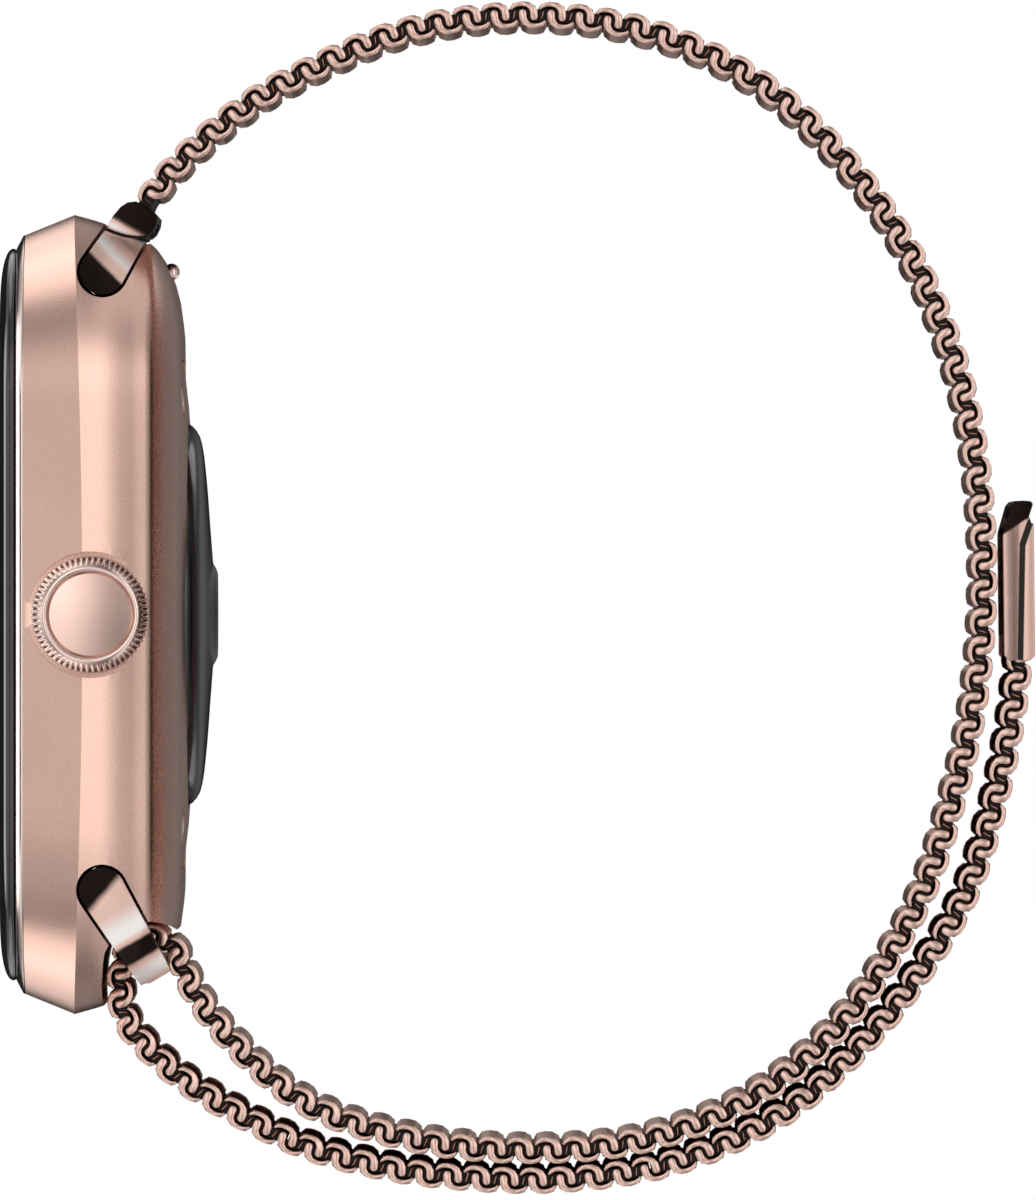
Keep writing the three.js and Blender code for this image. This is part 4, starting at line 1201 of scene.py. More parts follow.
@dataclass
class BackFace:
    """Back cover, sensor dome and the screws' heads."""

    case: CaseShell
    dome_wall: float = 0.75
    spot: float = 2.2
    cover_depth: float = -2.55

    def cover(self) -> None:
        """Build the back cover, with its hole and counterbores."""
        half_x, half_z, corner = self.case.cover[0] / 2, self.case.cover[1] / 2, self.case.cover[2]
        rings = []
        for painted_shade, less in ((self.cover_depth, 0.0), (-2.02, 0.0), (-1.95, 0.1), (-1.91, 0.4), (-1.86, 0.9),
                            (-1.78, 1.6), (-1.68, 2.4), (-1.62, 3.2)):
            points = self.case.outline(half_x - less, half_z - less, max(corner - less * 0.6, 2.0), 12, 6)
            rings.append([Vector((x, painted_shade, z)) for x, z in points])
        cuts = [Maker().turn([(0.0, -4.0), (self.case.dome + 0.1, -4.0), (self.case.dome + 0.1, 0.0),
                              (0.0, 0.0)], "Y", 96)]
        for sx, sz in ((1, 1), (-1, 1), (-1, -1), (1, -1)):
            place = Vector((sx * (half_x - 2.5), 0.0, sz * (half_z - 2.3)))
            profile = [(0.0, -4.0), (0.51, -4.0), (0.51, -2.3), (0.91, -2.3), (0.91, 0.0), (0.0, 0.0)]
            cuts.append(Maker().turn(profile, "Y", 32, place))
        finish_piece("back_cover_shell", carve(Maker().loft(rings), cuts), Finishes.BACK,
                     Seat("case", "back_cover", ("back_cover",)))

    def dome(self) -> None:
        """Build the sensor dome, a shallow glass with a raised spot."""
        edge = self.case.dome
        inner = edge - 1.2
        outer = Way([(edge, -1.72), (edge - 0.2, -1.38), (edge - 0.7, -1.02), (edge - 1.4, -0.83),
                     (edge - 3.4, -0.6), (edge - 5.8, -0.42), (self.spot + 0.8, -0.28)], 8)
        skin = [outer.at(outer.length * i / 22) for i in range(23)]
        profile = [(0.0, -self.dome_wall), (inner - 2.0, -self.dome_wall - 0.6), (inner, -1.75),
                   (inner, self.case.cover_seat + 0.04), (edge, self.case.cover_seat + 0.04), *skin,
                   (self.spot + 0.6, -0.25), (self.spot + 0.35, -0.1), (self.spot + 0.15, -0.02),
                   (self.spot, 0.0), (0.0, 0.0)]
        finish_piece("sensor_dome_glass", Maker().turn(profile, "Y", 128), Finishes.SENSOR,
                     Seat("case", "sensor_glass", ("sensor_dome",)))

    def screws(self) -> None:
        """Build the four slotted screws."""
        half_x, half_z = self.case.cover[0] / 2 - 2.5, self.case.cover[1] / 2 - 2.3
        for number, (sx, sz) in enumerate(((1, 1), (-1, 1), (-1, -1), (1, -1)), 1):
            profile = [(0.0, -3.25), (0.4, -3.25), (0.45, -3.2), (0.45, -2.24), (0.83, -2.24), (0.85, -2.2),
                       (0.85, -2.0), (0.8, -1.92), (0.7, -1.87), (0.5, -1.86), (0.0, -1.86)]
            place = Vector((sx * half_x, 0.0, sz * half_z))
            screw = Maker().turn(profile, "Y", 32, place)
            turned = Matrix.Translation(place) @ Matrix.Rotation(0.5 * number, 4, "Y") @ Matrix.Translation(-place)
            slot = Maker().prism([(-2.02, place.z - 0.13), (-1.0, place.z - 0.13), (-1.0, place.z + 0.13),
                                  (-2.02, place.z + 0.13)], place.x - 1.0, place.x + 1.0)
            bmesh.ops.transform(slot.bm, matrix=turned, verts=slot.bm.verts[:])
            finish_piece(f"back_screw_slotted_{number}", carve(screw, [slot]), Finishes.STEEL,
                         Seat("case", "inner_steel", (f"back_screw_{number}",)))

    def build(self) -> None:
        """Build all of it."""
        self.cover()
        self.dome()
        self.screws()


@dataclass
class Crown:
    """The crown: a knurled ring round a satin cap."""

    painted_shade: float = -6.8
    face: float = 20.3
    height: float = 2.3
    radius: float = 3.24
    cap_radius: float = 2.38
    teeth: int = 60
    tooth_depth: float = 0.11
    steps_per_tooth: int = 6

    def knurl(self, maker: Maker) -> None:
        """Press the teeth into a turned ring.

        Args:
            maker: The ring, whose outer part is moved.
        """
        inner = 2.78
        for vert in maker.bm.verts:
            y, z = vert.co.y - self.painted_shade, vert.co.z
            radius = math.hypot(y, z)
            if radius < inner:
                continue
            wave = 0.5 + 0.5 * math.cos(self.teeth * math.atan2(z, y))
            share = min(1.0, max(0.0, (radius - inner - 0.16 * (1.0 - wave)) / 0.16))
            groove = self.tooth_depth * share * wave
            vert.co.y -= y / radius * groove
            vert.co.z -= z / radius * groove
            vert.co.x -= groove * 0.7 if vert.co.x > self.face - 0.8 else 0.0

    def build(self) -> None:
        """Build the ring and the cap."""
        rear = self.face - self.height
        rim = self.cap_radius + 0.06
        axis = Vector((0.0, self.painted_shade, 0.0))
        profile = [(1.95, rear), (self.radius - 0.14, rear), (self.radius - 0.04, rear + 0.05),
                   (self.radius, rear + 0.15), (self.radius, rear + 0.8), (self.radius, self.face - 0.8),
                   (self.radius - 0.05, self.face - 0.66), (3.06, self.face - 0.53), (2.94, self.face - 0.43),
                   (2.84, self.face - 0.34), (2.76, self.face - 0.27), (2.66, self.face - 0.19),
                   (2.58, self.face - 0.145), (2.5, self.face - 0.14), (rim + 0.01, self.face - 0.16),
                   (rim, self.face - 0.2), (rim, rear + 1.2), (1.95, rear + 1.2), (1.95, rear)]
        ring = Maker().turn(profile, "X", self.teeth * self.steps_per_tooth, axis)
        self.knurl(ring)
        finish_piece("crown_ring_knurled", ring, Finishes.CROWN, Seat("crown", "crown_metal",
                     ("crown_knurled_ring",)), 40.0)
        edge = self.cap_radius
        dome = 0.19
        inner = edge - 0.14
        cap = [(0.0, rear), (1.88, rear), (1.88, rear + 1.26), (edge, rear + 1.26), (edge, self.face - 0.36),
               (edge - 0.02, self.face - dome - 0.1), (inner + 0.01, self.face - dome - 0.01)]
        cap += [(inner * (1.0 - i / 8), self.face - dome * (1.0 - i / 8) ** 2) for i in range(9)]
        finish_piece("crown_cap_satin", Maker().turn(cap, "X", 96, axis), Finishes.CAP,
                     Seat("crown", "crown_cap", ("crown_cap",)), 20.0)


# ------------------------------------------------------------------------------ band fittings


@dataclass
class TopConnector:
    """Lug and end link that hold the strand at 12 o'clock."""

    case: CaseShell
    half_width: float = 10.0
    knuckle: float = 3.0

    def build(self) -> None:
        """Build the lug, flush with the case, and the end link behind it."""
        line = [(2.04, -1.09), (2.1, -0.6), (2.24, 0.0), (2.5, 0.6), (2.82, 1.09)]
        shape = TOP_LUG.bulb_arc(-0.05) + [TOP_LUG.at(along, side) for along, side in line]
        lug = carve(Maker().prism(shape, -25.0, 25.0), [self.case.skin(0.03, True)], "INTERSECT")
        finish_piece("connector_top_lug", lug.soften(0.06, 2, 60.0), Finishes.LUG_TOP,
                     Seat("top_connector", "polished_metal", ("connector_top",)), 20.0)
        web = [(1.7, -0.5), (1.7, 0.5), (3.2, 0.6), (3.75, 0.3), (3.8, 0.0), (3.75, -0.3), (3.2, -0.6)]
        knuckle = Maker().prism([TOP_LUG.at(a, s) for a, s in web], -self.knuckle, self.knuckle).soften(0.08)
        finish_piece("connector_top_knuckle", knuckle, Finishes.POLISHED, Seat("top_connector", "polished_metal"))
        # Painted shade: a black slab in the joint between the lug and the end link, so the gap shows dark.
        gap = 0.18
        shade = [TOP_LUG.at(along - 0.04, side * 0.93) for along, side in line]
        shade += [TOP_LUG.at(along + gap + 0.04, side * 0.93) for along, side in reversed(line)]
        finish_piece("connector_top_joint_painted_shade", Maker().prism(shade, 0.4 - self.half_width, self.half_width - 0.4),
                     Finishes.MESH_PAINTED_SHADE, Seat("top_connector", "polished_metal"))
        link = [(along + gap, side) for along, side in line]
        link += [(3.3, 1.2), (3.8, 1.16), (4.19, 1.0), (4.32, 0.6), (4.36, 0.1), (4.28, -0.45), (4.0, -0.82),
                 (3.6, -1.02), (2.95, -1.13)]
        body = Maker().prism([TOP_LUG.at(a, s) for a, s in link], -self.half_width, self.half_width)
        # Painted shade: a black block in the end link's throat, before the first hook, so the gap shows dark.
        throat = [TOP_LUG.at(a, s) for a, s in ((4.1, -0.3), (4.1, 0.5), (4.7, 0.42), (4.7, -0.24))]
        finish_piece("end_link_throat_painted_shade", Maker().prism(throat, 0.5 - self.half_width, self.half_width - 0.5),
                     Finishes.MESH_PAINTED_SHADE, Seat("strand_a", "polished_metal"))
        slot = [(0.0, -1.8), (0.0, 1.8), (3.5, 1.8), (3.92, 0.4), (3.96, 0.0), (3.92, -0.4), (3.5, -1.8)]
        cut = Maker().prism([TOP_LUG.at(a, s) for a, s in slot], -self.knuckle - 0.2, self.knuckle + 0.2)
        body = carve(body, [cut])
        body.soften(0.12, 3, 60.0)
        finish_piece("end_link_polished", body, Finishes.LINK,
                     Seat("strand_a", "polished_metal", ("end_link",)), 20.0)


@dataclass
class LoopFrame:
    """Frame at 6 o'clock whose bar the strand folds round."""

    case: CaseShell
    window: float = 10.35
    window_from: float = 2.2
    bar: float = 0.55
    bar_reach: float = 5.0

    def build(self) -> None:
        """Build the frame and its bar."""
        shape = LOOP_LUG.bulb_arc(-0.05)
        tip = [(5.2, -0.96), (5.66, -0.9), (5.75, -0.76), (5.75, 0.76), (5.66, 0.9), (5.2, 0.96)]
        shape += [LOOP_LUG.at(along, side) for along, side in tip]
        hole = [(self.window_from, -3.0), (self.window_from, 3.0), (9.0, 3.0), (9.0, -3.0)]
        window = Maker().prism([LOOP_LUG.at(a, s) for a, s in hole], -self.window, self.window)
        frame_body = carve(Maker().prism(shape, -25.0, 25.0), [self.case.skin(0.03, True)], "INTERSECT")
        frame_body = carve(frame_body, [window])
        frame_body.soften(0.08, 2, 60.0)
        finish_piece("loop_frame_polished", frame_body, Finishes.LOOP,
                     Seat("loop", "polished_metal", ("loop_frame",)), 20.0)
        end = self.window + 0.4
        centre = LOOP_LUG.at(self.bar_reach)
        profile = [(0.0, -end), (self.bar, -end), (self.bar, end), (0.0, end)]
        bar = Maker().turn(profile, "X", 32, Vector((0.0, *centre)))
        finish_piece("loop_bar_round", bar, Finishes.POLISHED, Seat("loop", "polished_metal"))


@dataclass
class ReleaseKnobs:
    """The two small release knobs in the back of the case."""

    radius: float = 0.5

    def build(self) -> None:
        """Build a ball-headed knob at 12 o'clock and a flush one at 6 o'clock."""
        # The top knob's finish paints its dark outline and its highlight into the colour.
        knobs = (("top", -2.62, 18.95, 10.0, 0.5, Finishes.KNOB),
                 ("bottom", -1.92, -15.05, 0.0, 0.05, Finishes.POLISHED))
        for end, surface, height, lean, proud, finish in knobs:
            middle, reach, foot = proud - 0.44, 0.46, -0.55
            ball = [(0.0, -1.1), (0.24, -1.1), (0.24, max(middle - 0.38, foot))]
            ball += [(reach * math.cos(math.radians(a)), max(middle + 0.44 * math.sin(math.radians(a)), foot))
                     for a in range(-50, 90, 10)]
            ball.append((0.0, proud))
            maker = Maker().turn(ball, "Y", 40)
            turn = Matrix.Translation((0.0, surface, height)) @ Matrix.Rotation(
                math.radians(lean) * (1 if height > 0 else -1), 4, "X")
            bmesh.ops.transform(maker.bm, matrix=turn, verts=maker.bm.verts[:])
            finish_piece(f"release_knob_{end}", maker, finish,
                         Seat(f"release_{end}", "polished_metal", (f"release_button_{end}",)))


@dataclass
class ReturnSpring:
    """A coil spring in the case, which its button presses shorter; here it is built at rest."""

    name: str
    joint: str
    radius: float
    wire: float
    length: float
    turns: int
    travel: float
    # Places the foot of a coil that stands on the Y axis.
    place: Matrix

    def build(self) -> None:
        """Wind the wire and place it."""
        maker = Maker()
        sides, steps = 8, 14 * self.turns
        rise = (self.length - 2 * self.wire) / steps
        start = Matrix.Translation((self.radius, self.wire, 0.0))
        ring = bmesh.ops.create_circle(maker.bm, cap_ends=False, segments=sides, radius=self.wire,
                                       matrix=start)["verts"]
        edges = list({edge for vert in ring for edge in vert.link_edges})
        bmesh.ops.spin(maker.bm, geom=ring + edges, cent=(0.0, 0.0, 0.0), axis=(0.0, 1.0, 0.0),
                       dvec=(0.0, rise, 0.0), angle=2.0 * math.pi * self.turns, steps=steps,
                       use_merge=False, use_duplicate=False)
        bmesh.ops.holes_fill(maker.bm, edges=[edge for edge in maker.bm.edges if edge.is_boundary], sides=0)
        maker.out()
        bmesh.ops.transform(maker.bm, matrix=self.place, verts=maker.bm.verts[:])
        piece = finish_piece(f"{self.name}_coil", maker, Finishes.STEEL,
                             Seat("case", "inner_steel", (self.name,)), 60.0)
        axis = self.place.to_3x3() @ Vector((0.0, 1.0, 0.0))
        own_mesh(piece)


def return_springs() -> list[ReturnSpring]:
    """The crown's spring and those of the two release knobs.

    Returns:
        The springs.
    """
    low, high = (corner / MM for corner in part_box("crown_spring"))
    foot = Vector((low.x, (low.y + high.y) / 2, (low.z + high.z) / 2))
    lying = Matrix.Translation(foot) @ Matrix.Rotation(math.radians(-90.0), 4, "Z")
    springs = [ReturnSpring("crown_spring", "crown_press", 1.3, 0.13, high.x - low.x, 3, 0.36, lying)]
    for end, surface, height, lean in (("top", -2.62, 18.95, 10.0), ("bottom", -1.92, -15.05, 0.0)):
        mouth = Matrix.Translation((0.0, surface, height)) @ Matrix.Rotation(math.radians(lean), 4, "X")
        foot = mouth @ Matrix.Translation((0.0, -1.16, 0.0))
        springs.append(ReturnSpring(f"release_spring_{end}", f"release_press_{end}", 0.42, 0.06, 0.58, 2,
                                    0.31, foot))
    return springs


# ------------------------------------------------------------------------------ woven band


@dataclass
class WovenBand:
    """The strand: rows of flattened wire turns, hooked into each other from both faces."""

    line: BandLine
    turn_pitch: float = 0.55
    wire: tuple[float, float] = (0.47, 0.25)
    wire_sides: int = 6
    slant: float = 0.24
    end_depth: float = 0.42
    # A hook's middle line: place along the row, height and width; it runs over a crest and down into a
    # rounded finger.
    hook: tuple[tuple[float, float, float], ...] = (
        (-0.575, 0.30, 0.10), (-0.47, 0.445, 0.19), (-0.25, 0.575, 0.25), (0.03, 0.612, 0.256),
        (0.32, 0.575, 0.28), (0.55, 0.42, 0.36), (0.675, 0.20, 0.42), (0.695, -0.10, 0.42))
    # Middle line of a turn between the edges, flatter over the crest than a cut end.
    arch: tuple[Point, ...] = ((-0.60, 0.34), (-0.42, 0.53), (-0.06, 0.615), (0.36, 0.60), (0.66, 0.44),
                               (0.75, 0.02))
    pivot: float = 0.38
    # The wire that shows, set back, in the gap before each hook.
    sliver: tuple[Point, ...] = ((-0.485, -0.24), (-0.415, -0.24), (-0.295, 0.24), (-0.365, 0.24))
    sliver_back: float = 0.22

    def hook_outline(self) -> list[Point]:
        """Outline of a hook as its cut end shows it.

        Returns:
            Places along the row and heights.
        """
        left, right = [], []
        spots = [Vector(stop[:2]) for stop in self.hook]
        for i, (spot, stop) in enumerate(zip(spots, self.hook)):
            before, after = spots[max(i - 1, 0)], spots[min(i + 1, len(spots) - 1)]
            along = (after - before).normalized()
            side = Vector((-along.y, along.x)) * stop[2] / 2
            left.append(tuple(spot + side))
            right.append(tuple(spot - side))
        centre, radius = spots[-1], self.hook[-1][2] / 2
        start = math.atan2(left[-1][1] - centre.y, left[-1][0] - centre.x)
        cap = [(centre.x + radius * math.cos(start - math.pi * i / 6),
                centre.y + radius * math.sin(start - math.pi * i / 6)) for i in range(1, 6)]
        return left + cap + right[::-1]

    def end_hooks(self) -> Maker:
        """The two cut ends of a row's outer hook, one on each edge of the band.

        Returns:
            The mesh, flat.
        """
        made = Maker()
        half = self.line.width / 2
        for side in (-1, 1):
            near = side * (half - self.end_depth)
            made.prism(self.hook_outline(), near, side * half)
            made.prism(list(self.sliver), near, side * (half - self.sliver_back))
        return made.soften(0.035, 1, 60.0)

    def turns(self, lean: int) -> Maker:
        """The wire turns between a row's two ends.

        Args:
            lean: 1 or -1, the way the turns slant.

        Returns:
            The mesh, flat.
        """
        made = Maker()
        wide, thick = self.wire
        spots = [Vector(stop) for stop in self.arch]
        ring = bmesh.ops.create_circle(made.bm, cap_ends=True, segments=self.wire_sides, radius=0.5)["verts"]
        flat = {vert: vert.co.copy() for vert in ring}
        loop = ring
        for i, spot in enumerate(spots):
            along = (spots[min(i + 1, len(spots) - 1)] - spots[max(i - 1, 0)]).normalized()
            if i:
                faces = {face for vert in loop for face in vert.link_faces if set(face.verts) <= set(loop)}
                cap = [face for face in faces if len(face.verts) == self.wire_sides][0]
                new = bmesh.ops.extrude_face_region(made.bm, geom=[cap], use_keep_orig=i == 1)["geom"]
                fresh = [item for item in new if isinstance(item, bmesh.types.BMVert)]
                matched = {}
                for vert in fresh:
                    twin = min(loop, key=lambda other: (other.co - vert.co).length_squared)
                    matched[vert] = flat[twin]
                flat, loop = matched, fresh
            shift = self.slant * lean * (2.0 * i / (len(spots) - 1) - 1.0)
            shrink = 0.45 if i in (0,) else 1.0
            for vert, place in list(flat.items()):
                height = place.y * thick * shrink
                vert.co = Vector((place.x * wide * shrink + shift, spot.x - along.y * height,
                                  spot.y + along.x * height))
        made.out()
        seed = made.bm.verts[:] + made.bm.edges[:] + made.bm.faces[:]
        reach = self.line.width / 2 - self.end_depth - self.wire[0] / 2 + 0.02
        count = int(2 * reach / self.turn_pitch) + 1
        first = -(count - 1) * self.turn_pitch / 2
        for i in range(1, count):
            copy = bmesh.ops.duplicate(made.bm, geom=seed)["geom"]
            verts = [item for item in copy if isinstance(item, bmesh.types.BMVert)]
            bmesh.ops.translate(made.bm, verts=verts, vec=(first + i * self.turn_pitch, 0.0, 0.0))
        base = [item for item in seed if isinstance(item, bmesh.types.BMVert)]
        bmesh.ops.translate(made.bm, verts=base, vec=(first, 0.0, 0.0))
        return made

    def half_rows(self) -> dict[str, bpy.types.Mesh]:
        """Flat meshes of an outer and an inner half row, for both slants.

        Returns:
            Meshes by the names out1, out-1, in1 and in-1.
        """
        made = {}
        for lean in (1, -1):
            for name, angle in (("out", 0.0), ("in", math.pi)):
                half = self.turns(lean)
                ends = bpy.data.meshes.new("ends")
                end_hooks = self.end_hooks()
                end_hooks.bm.to_mesh(ends)
                end_hooks.bm.free()
                half.bm.from_mesh(ends)
                bpy.data.meshes.remove(ends)
                spin = (Matrix.Translation((0.0, self.pivot, 0.0)) @ Matrix.Rotation(angle, 4, "X")
                        @ Matrix.Translation((0.0, -self.pivot, 0.0)))
                bmesh.ops.transform(half.bm, matrix=spin, verts=half.bm.verts[:])
                mesh = bpy.data.meshes.new(f"{name}{lean}")
                half.bm.to_mesh(mesh)
                half.bm.free()
                made[f"{name}{lean}"] = mesh
        return made

    def stretches(self) -> list[tuple[str, str, float, float]]:
        """Every stretch of the strand: its solid, its body, and where it starts and ends.

        Returns:
            The stretches, in order.
        """
        line = self.line
        stops = [0.0, *(row * line.pitch for row in line.strand_hinges)]
        middle = (stops[3] + line.strand_length) / 2
        ends = [("strand_1", "strand_a", stops[0], stops[1]), ("strand_2", "strand_b", stops[1], stops[2]),
                ("strand_3", "strand_c", stops[2], stops[3]), ("strand_4", "loop", stops[3], middle),
                ("strand_5", "loop", middle, line.strand_length - 1.2)]
        tails = [line.fold_end + row * line.pitch for row in line.tail_hinges]
        ends.append(("strand_fold", "loop", line.strand_length - 1.2, tails[0]))
        last = line.way.length - line.clasp + line.clasp_overlap
        for i, (start, end) in enumerate(zip(tails, [*tails[1:], last]), 1):
            ends.append((f"tail_{i}", f"tail_{i}", start, end))
        return ends

    def centres(self) -> list[float]:
        """Middle of every half row, even inside each stretch that moves as one.

        Returns:
            Distances along the way.
        """
        spans: list[list] = []
        for _, body, start, end in self.stretches():
            if spans and spans[-1][0] == body:
                spans[-1][2] = end
            else:
                spans.append([body, start, end])
        places = []
        for _, start, end in spans:
            count = round((end - start) / (self.line.pitch / 2))
            places += [start + (end - start) * (i + 0.5) / count for i in range(count)]
        return places

    def lay(self, maker: Maker, mesh: bpy.types.Mesh, middle: float) -> None:
        """Add a half row and bend it to the way.

        Args:
            maker: The stretch under construction.
            mesh: The flat half row.
            middle: Distance of its middle along the way.
        """
        first = len(maker.bm.verts)
        maker.bm.from_mesh(mesh)
        maker.bm.verts.ensure_lookup_table()
        frames: dict[float, tuple[Vector, Vector]] = {}
        for vert in maker.bm.verts[first:]:
            x, along, height = vert.co
            key = round(along, 3)
            if key not in frames:
                base = Vector(self.line.way.at(middle + key))
                frames[key] = (base, Vector(self.line.way.at(middle + key, 1.0)) - base)
            base, up = frames[key]
            vert.co = (x, base.x + up.x * height, base.y + up.y * height)

    def build(self) -> None:
        """Build every stretch and the painted shade inside it: a black core that shows in the gaps of the weave.
        """
        rows = self.half_rows()
        centres = self.centres()
        for node, body, start, end in self.stretches():
            maker = Maker()
            for i, middle in enumerate(centres):
                if not start <= middle < end:
                    continue
                face = "out" if i % 2 == 0 else "in"
                lean = 1 if (i // 2) % 2 == 0 else -1
                # An inner hook is drawn in the frame of the outer hook before it, half a row back.
                back = 0.0 if face == "out" else self.line.pitch / 2
                self.lay(maker, rows[f"{face}{lean}"], middle - back)
            finish_piece(f"woven_{node}", maker, Finishes.MESH, Seat(body, "band_mesh", (node,)), 50.0)
            # Painted shade: a black solid inside the weave, so the gaps between the wire turns show dark.
            core = Maker().prism(self.line.outline(start + 0.03, end - 0.03, 0.5, 0.62),
                                 -self.line.width / 2 + 0.45, self.line.width / 2 - 0.45)
            finish_piece(f"woven_{node}_depth", core, Finishes.MESH_PAINTED_SHADE, Seat(body, "band_mesh"))
        for mesh in rows.values():
            bpy.data.meshes.remove(mesh)


@dataclass
class Clasp:
    """Magnetic clasp: two brushed halves round the strand's end."""

    line: BandLine
    thickness: float = 1.7
    width: float = 20.6

    def frame(self) -> Matrix:
        """Matrix from the clasp's own frame, along and across, to the watch's.

        Returns:
            The matrix.
        """
        end = Vector(self.line.way.at(self.line.way.length))
        start = Vector(self.line.way.at(self.line.way.length - self.line.clasp))
        run = end - start
        return Matrix.Translation((0.0, *start)) @ Matrix.Rotation(math.atan2(run.y, run.x), 4, "X")

    def half(self, name: str, shape: list[Point], node: str) -> None:
        """Build one half.

        Args:
            name: The piece's name.
            shape: Its outline, along and across.
            node: The solid that it stands for.
        """
        edge = self.width / 2
        pocket = self.line.thickness / 2 + 0.1
        hole = [(-1.0, -pocket), (1.35, -pocket), (1.35, pocket), (-1.0, pocket)]
        body = carve(Maker().prism(shape, -edge, edge), [Maker().prism(hole, 0.25 - edge, edge - 0.25)])
        body.soften(0.08, 3, 50.0)
        bmesh.ops.transform(body.bm, matrix=self.frame(), verts=body.bm.verts[:])
        finish_piece(name, body, Finishes.CLASP, Seat("tail_6", "clasp_metal", (node,)))

    def build(self) -> None:
        """Build both halves and the painted shade in the seam between them."""
        half, long = self.thickness / 2, self.line.clasp
        self.half("clasp_cover_brushed", [(0.0, -0.18), (0.0, 0.25 - half), (0.25, -half), (long - 1.75, -half),
                                          (long - 1.4, 0.02 - half), (long - 2.7, -0.36)], "clasp_cover")
        self.half("clasp_plate_brushed", [
            (0.0, 0.1), (long - 2.55, -0.07), (long - 1.0, 0.23 - half), (long - 0.4, 0.03 - half),
            (long - 0.24, 0.13 - half), (long - 0.2, -0.3), (long - 0.22, 0.2), (long - 0.45, 0.4),
            (long - 1.9, half - 0.02), (long - 2.1, half), (0.3, half), (0.0, half - 0.25)], "clasp_plate")
        # Painted shade: black strips at both edges, in the seam between the halves.
        seam = [(0.03, 0.14), (long - 2.6, -0.02), (long - 1.1, 0.25 - half), (long - 1.5, 0.1 - half),
                (long - 2.75, -0.42), (0.03, -0.24)]
        edge = self.width / 2
        core = Maker().prism(seam, 0.2 - edge, 0.06 - edge + 0.01).prism(seam, edge - 0.07, edge - 0.2)
        bmesh.ops.transform(core.bm, matrix=self.frame(), verts=core.bm.verts[:])
        finish_piece("clasp_seam_painted_shade", core, Finishes.MESH_PAINTED_SHADE, Seat("tail_6", "clasp_metal"))


# ------------------------------------------------------------------------------ inner works and studio


@dataclass
class InnerWorks:
    """The solids that stay as they are, dressed in their own finishes."""

    finishes: dict[str, Finishes] = field(default_factory=lambda: {
        "display_gasket": Finishes.RUBBER, "display_panel": Finishes.DISPLAY, "mid_frame": Finishes.STEEL,
        "main_board": Finishes.BOARD, "battery": Finishes.FOIL, "haptic_motor": Finishes.STEEL,
        "shield_can": Finishes.STEEL, "speaker_module": Finishes.PLASTIC, "display_flex": Finishes.COPPER,
        "back_gasket": Finishes.RUBBER, "sensor_board": Finishes.BOARD, "charge_coil": Finishes.COPPER,
        "sensor_led": Finishes.STEEL, "photodiode_left": Finishes.PLASTIC,
        "photodiode_right": Finishes.PLASTIC, "crown_bush": Finishes.STEEL, "crown_o_ring": Finishes.RUBBER,
        "crown_washer": Finishes.STEEL, "crown_switch": Finishes.PLASTIC, "crown_stem": Finishes.STEEL,
        "latch_leaf_top": Finishes.STEEL, "latch_leaf_bottom": Finishes.STEEL, "end_pin": Finishes.STEEL,
        "clasp_magnet": Finishes.STEEL})

    def build(self) -> None:
        """Dress each solid."""
        for node, finish in self.finishes.items():
            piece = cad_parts[node]
            material = finish.value.material()
            if not piece.material_slots:
                piece.data.materials.append(material)
            for slot in piece.material_slots:
                slot.material = material
        log.info("inner works: %d solids dressed", len(self.finishes))


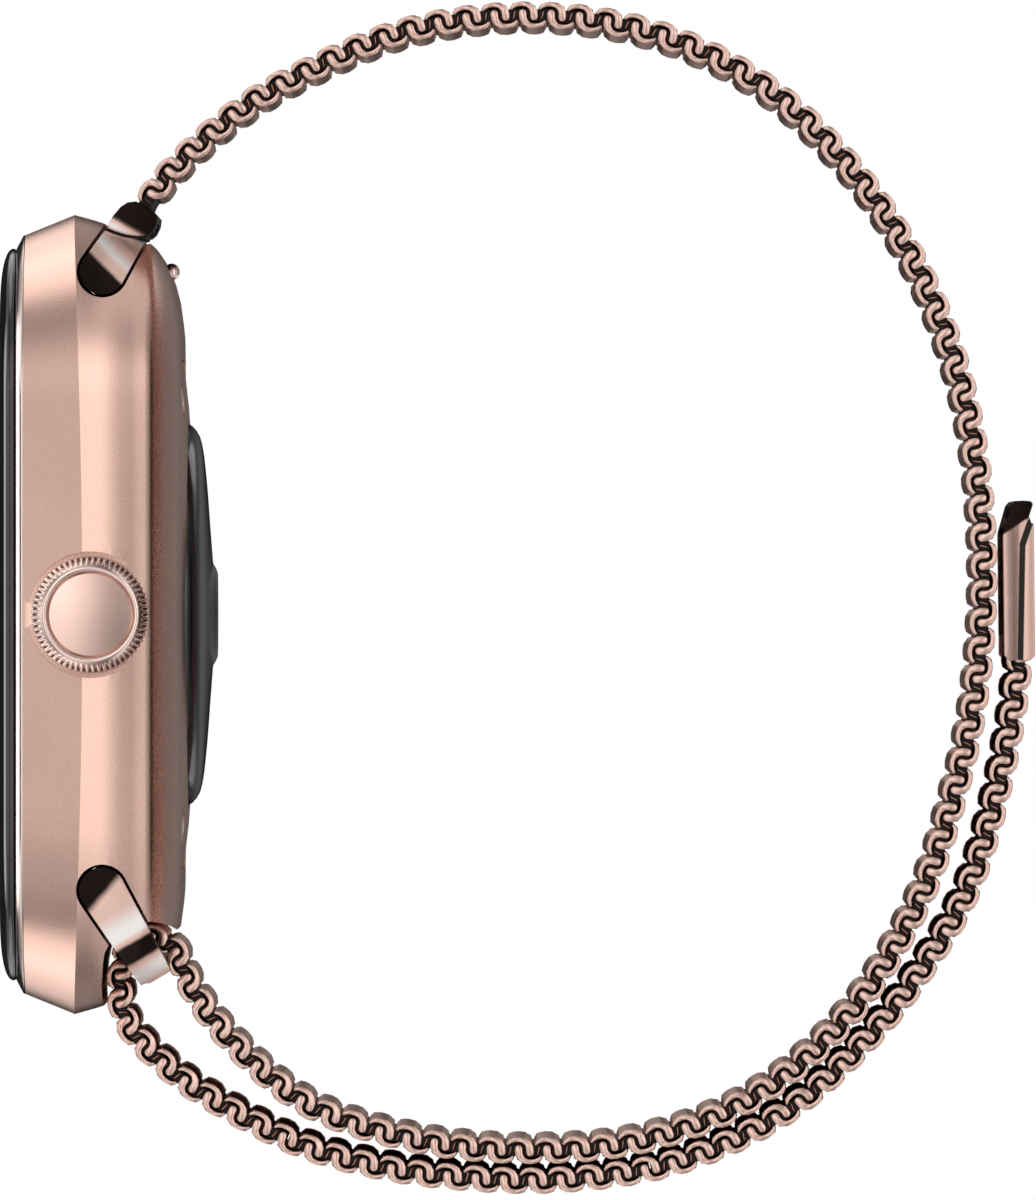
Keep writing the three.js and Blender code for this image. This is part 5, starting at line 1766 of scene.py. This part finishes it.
@dataclass
class Studio:
    """Camera, pale floor and a soft studio of bright walls and dark flags."""

    distance: float = 1.7
    view_height: float = 0.0664
    aim: tuple[float, float] = (0.0166, 0.0008)
    floor_drop: float = 0.085
    # Brightness by the angle towards +Y, from -90 to 90 degrees.
    sideways: list[Point] = field(default_factory=lambda: [
        (-90, 1.0), (-62, 0.8), (-50, 0.42), (-40, 0.44), (-24, 1.1), (-12, 1.12), (0, 0.68), (10, 0.3),
        (21, 0.14), (27, 1.3), (42, 1.25), (48, 0.55), (58, 0.42), (64, 0.25), (70, 0.04), (90, 0.01)])
    # Brightness by the angle from the camera's side up over the top, from -180 to 180 degrees.
    around: list[Point] = field(default_factory=lambda: [
        (-180, 0.01), (-160, 0.02), (-146, 0.6), (-120, 1.0), (-104, 0.5), (-60, 0.5), (-44, 0.75),
        (-20, 0.8), (-8, 0.9), (0, 1.0), (10, 1.2), (24, 1.15), (34, 1.0), (48, 0.5), (104, 0.5),
        (118, 1.1), (146, 0.9), (160, 0.02), (180, 0.01)])
    rim_glow: tuple[float, float] = (1.7, 0.17)
    # Directions, mirrored in height, of two soft lamps on the display side, and their strength.
    lamp: tuple[float, float, float] = (-0.12, -0.5, 0.86)
    lamp_glow: float = 0.8

    def camera(self) -> None:
        """Make the camera, looking along -X."""
        data = bpy.data.cameras.new("camera")
        data.sensor_fit = "VERTICAL"
        data.sensor_height = 24.0
        data.lens = data.sensor_height * self.distance / self.view_height
        data.clip_start = 0.01
        data.clip_end = 10.0
        camera = bpy.data.objects.new("camera", data)
        camera.location = (self.distance, *self.aim)
        camera.rotation_euler = (math.pi / 2, 0.0, math.pi / 2)
        bpy.context.scene.collection.objects.link(camera)
        bpy.context.scene.camera = camera

    def floor(self) -> None:
        """Make the floor below the watch."""
        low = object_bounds()[0][2]
        maker = Maker()
        bmesh.ops.create_circle(maker.bm, cap_ends=True, segments=96, radius=3000.0)
        bmesh.ops.translate(maker.bm, verts=maker.bm.verts[:], vec=(0.0, 0.0, (low - self.floor_drop) / MM))
        floor = bpy.data.objects.new("floor", maker.mesh("floor"))
        material = bpy.data.materials.new("floor_pale")
        material.use_nodes = True
        graph = Graph(material.node_tree)
        tone = graph.noise(graph.place(), 400.0, 2.0)
        graph.surface({"Specular IOR Level": 0.2, "Emission Color": (1.0, 1.0, 1.0, 1.0),
                       "Emission Strength": 0.6}, {
            "Base Color": graph.mix(tone, (0.90, 0.90, 0.90), (0.93, 0.93, 0.93)),
            "Roughness": 0.7 + tone * 0.1})
        floor.data.materials.append(material)
        floor.visible_glossy = False
        bpy.context.scene.collection.objects.link(floor)
        floor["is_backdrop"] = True

    def light(self) -> None:
        """Light the watch from all round, with dark flags for the polished metal."""
        world = bpy.data.worlds.new("studio")
        world.use_nodes = True
        bpy.context.scene.world = world
        bpy.context.scene.view_settings.view_transform = "Standard"
        graph = Graph(world.node_tree)
        place = graph.wire("ShaderNodeTexCoord", output="Generated")
        parts = graph.add("ShaderNodeSeparateXYZ", None, {0: place})
        x, y, z = (Wire(graph, output) for output in parts.outputs[:3])
        side = y.math("ARCSINE") / math.pi + 0.5
        turn = z.math("ARCTAN2", x) / (2.0 * math.pi) + 0.5
        sideways = graph.wire("ShaderNodeValToRGB", {"stops": [((a + 90) / 180, v) for a, v in self.sideways]},
                              {0: side})
        around = graph.wire("ShaderNodeValToRGB", {"stops": [((a + 180) / 360, v) for a, v in self.around]},
                            {0: turn})
        level = z.math("ABSOLUTE")
        front = (y * -0.87 - x * 0.49).step(0.945, 0.985) * self.rim_glow[0]
        back = (y * 0.62 - x * 0.78).step(0.8, 0.96) * self.rim_glow[1]
        lamp = (x * self.lamp[0] + y * self.lamp[1] + level * self.lamp[2]).step(0.93, 0.985)
        glow = sideways * around + (front + back) * (1.0 - level.step(0.3, 0.7)) + lamp * self.lamp_glow
        seen = graph.wire("ShaderNodeLightPath", output="Is Camera Ray")
        studio = graph.wire("ShaderNodeBackground", None, {"Color": glow, "Strength": 1.15})
        wall = graph.wire("ShaderNodeBackground", None, {"Color": (1.0, 1.0, 1.0, 1.0), "Strength": 1.0})
        both = graph.wire("ShaderNodeMixShader", None, {0: seen, 1: studio, 2: wall})
        graph.add("ShaderNodeOutputWorld", None, {"Surface": both})

    def build(self) -> None:
        """Build all of it."""
        self.camera()
        self.floor()
        self.light()
        log.info("studio ready")


def main() -> None:
    """Build and dress the watch, piece by piece."""
    logging.basicConfig(level=logging.INFO, format="%(name)s %(message)s")
    Studio().build()
    line = BandLine()
    case = CaseShell(line)
    case.build()
    FrontFace(case).build()
    BackFace(case).build()
    Crown().build()
    TopConnector(case).build()
    LoopFrame(case).build()
    ReleaseKnobs().build()
    for spring in return_springs():
        spring.build()
    WovenBand(line).build()
    Clasp(line).build()
    InnerWorks().build()


if __name__ == "__main__":
    main()
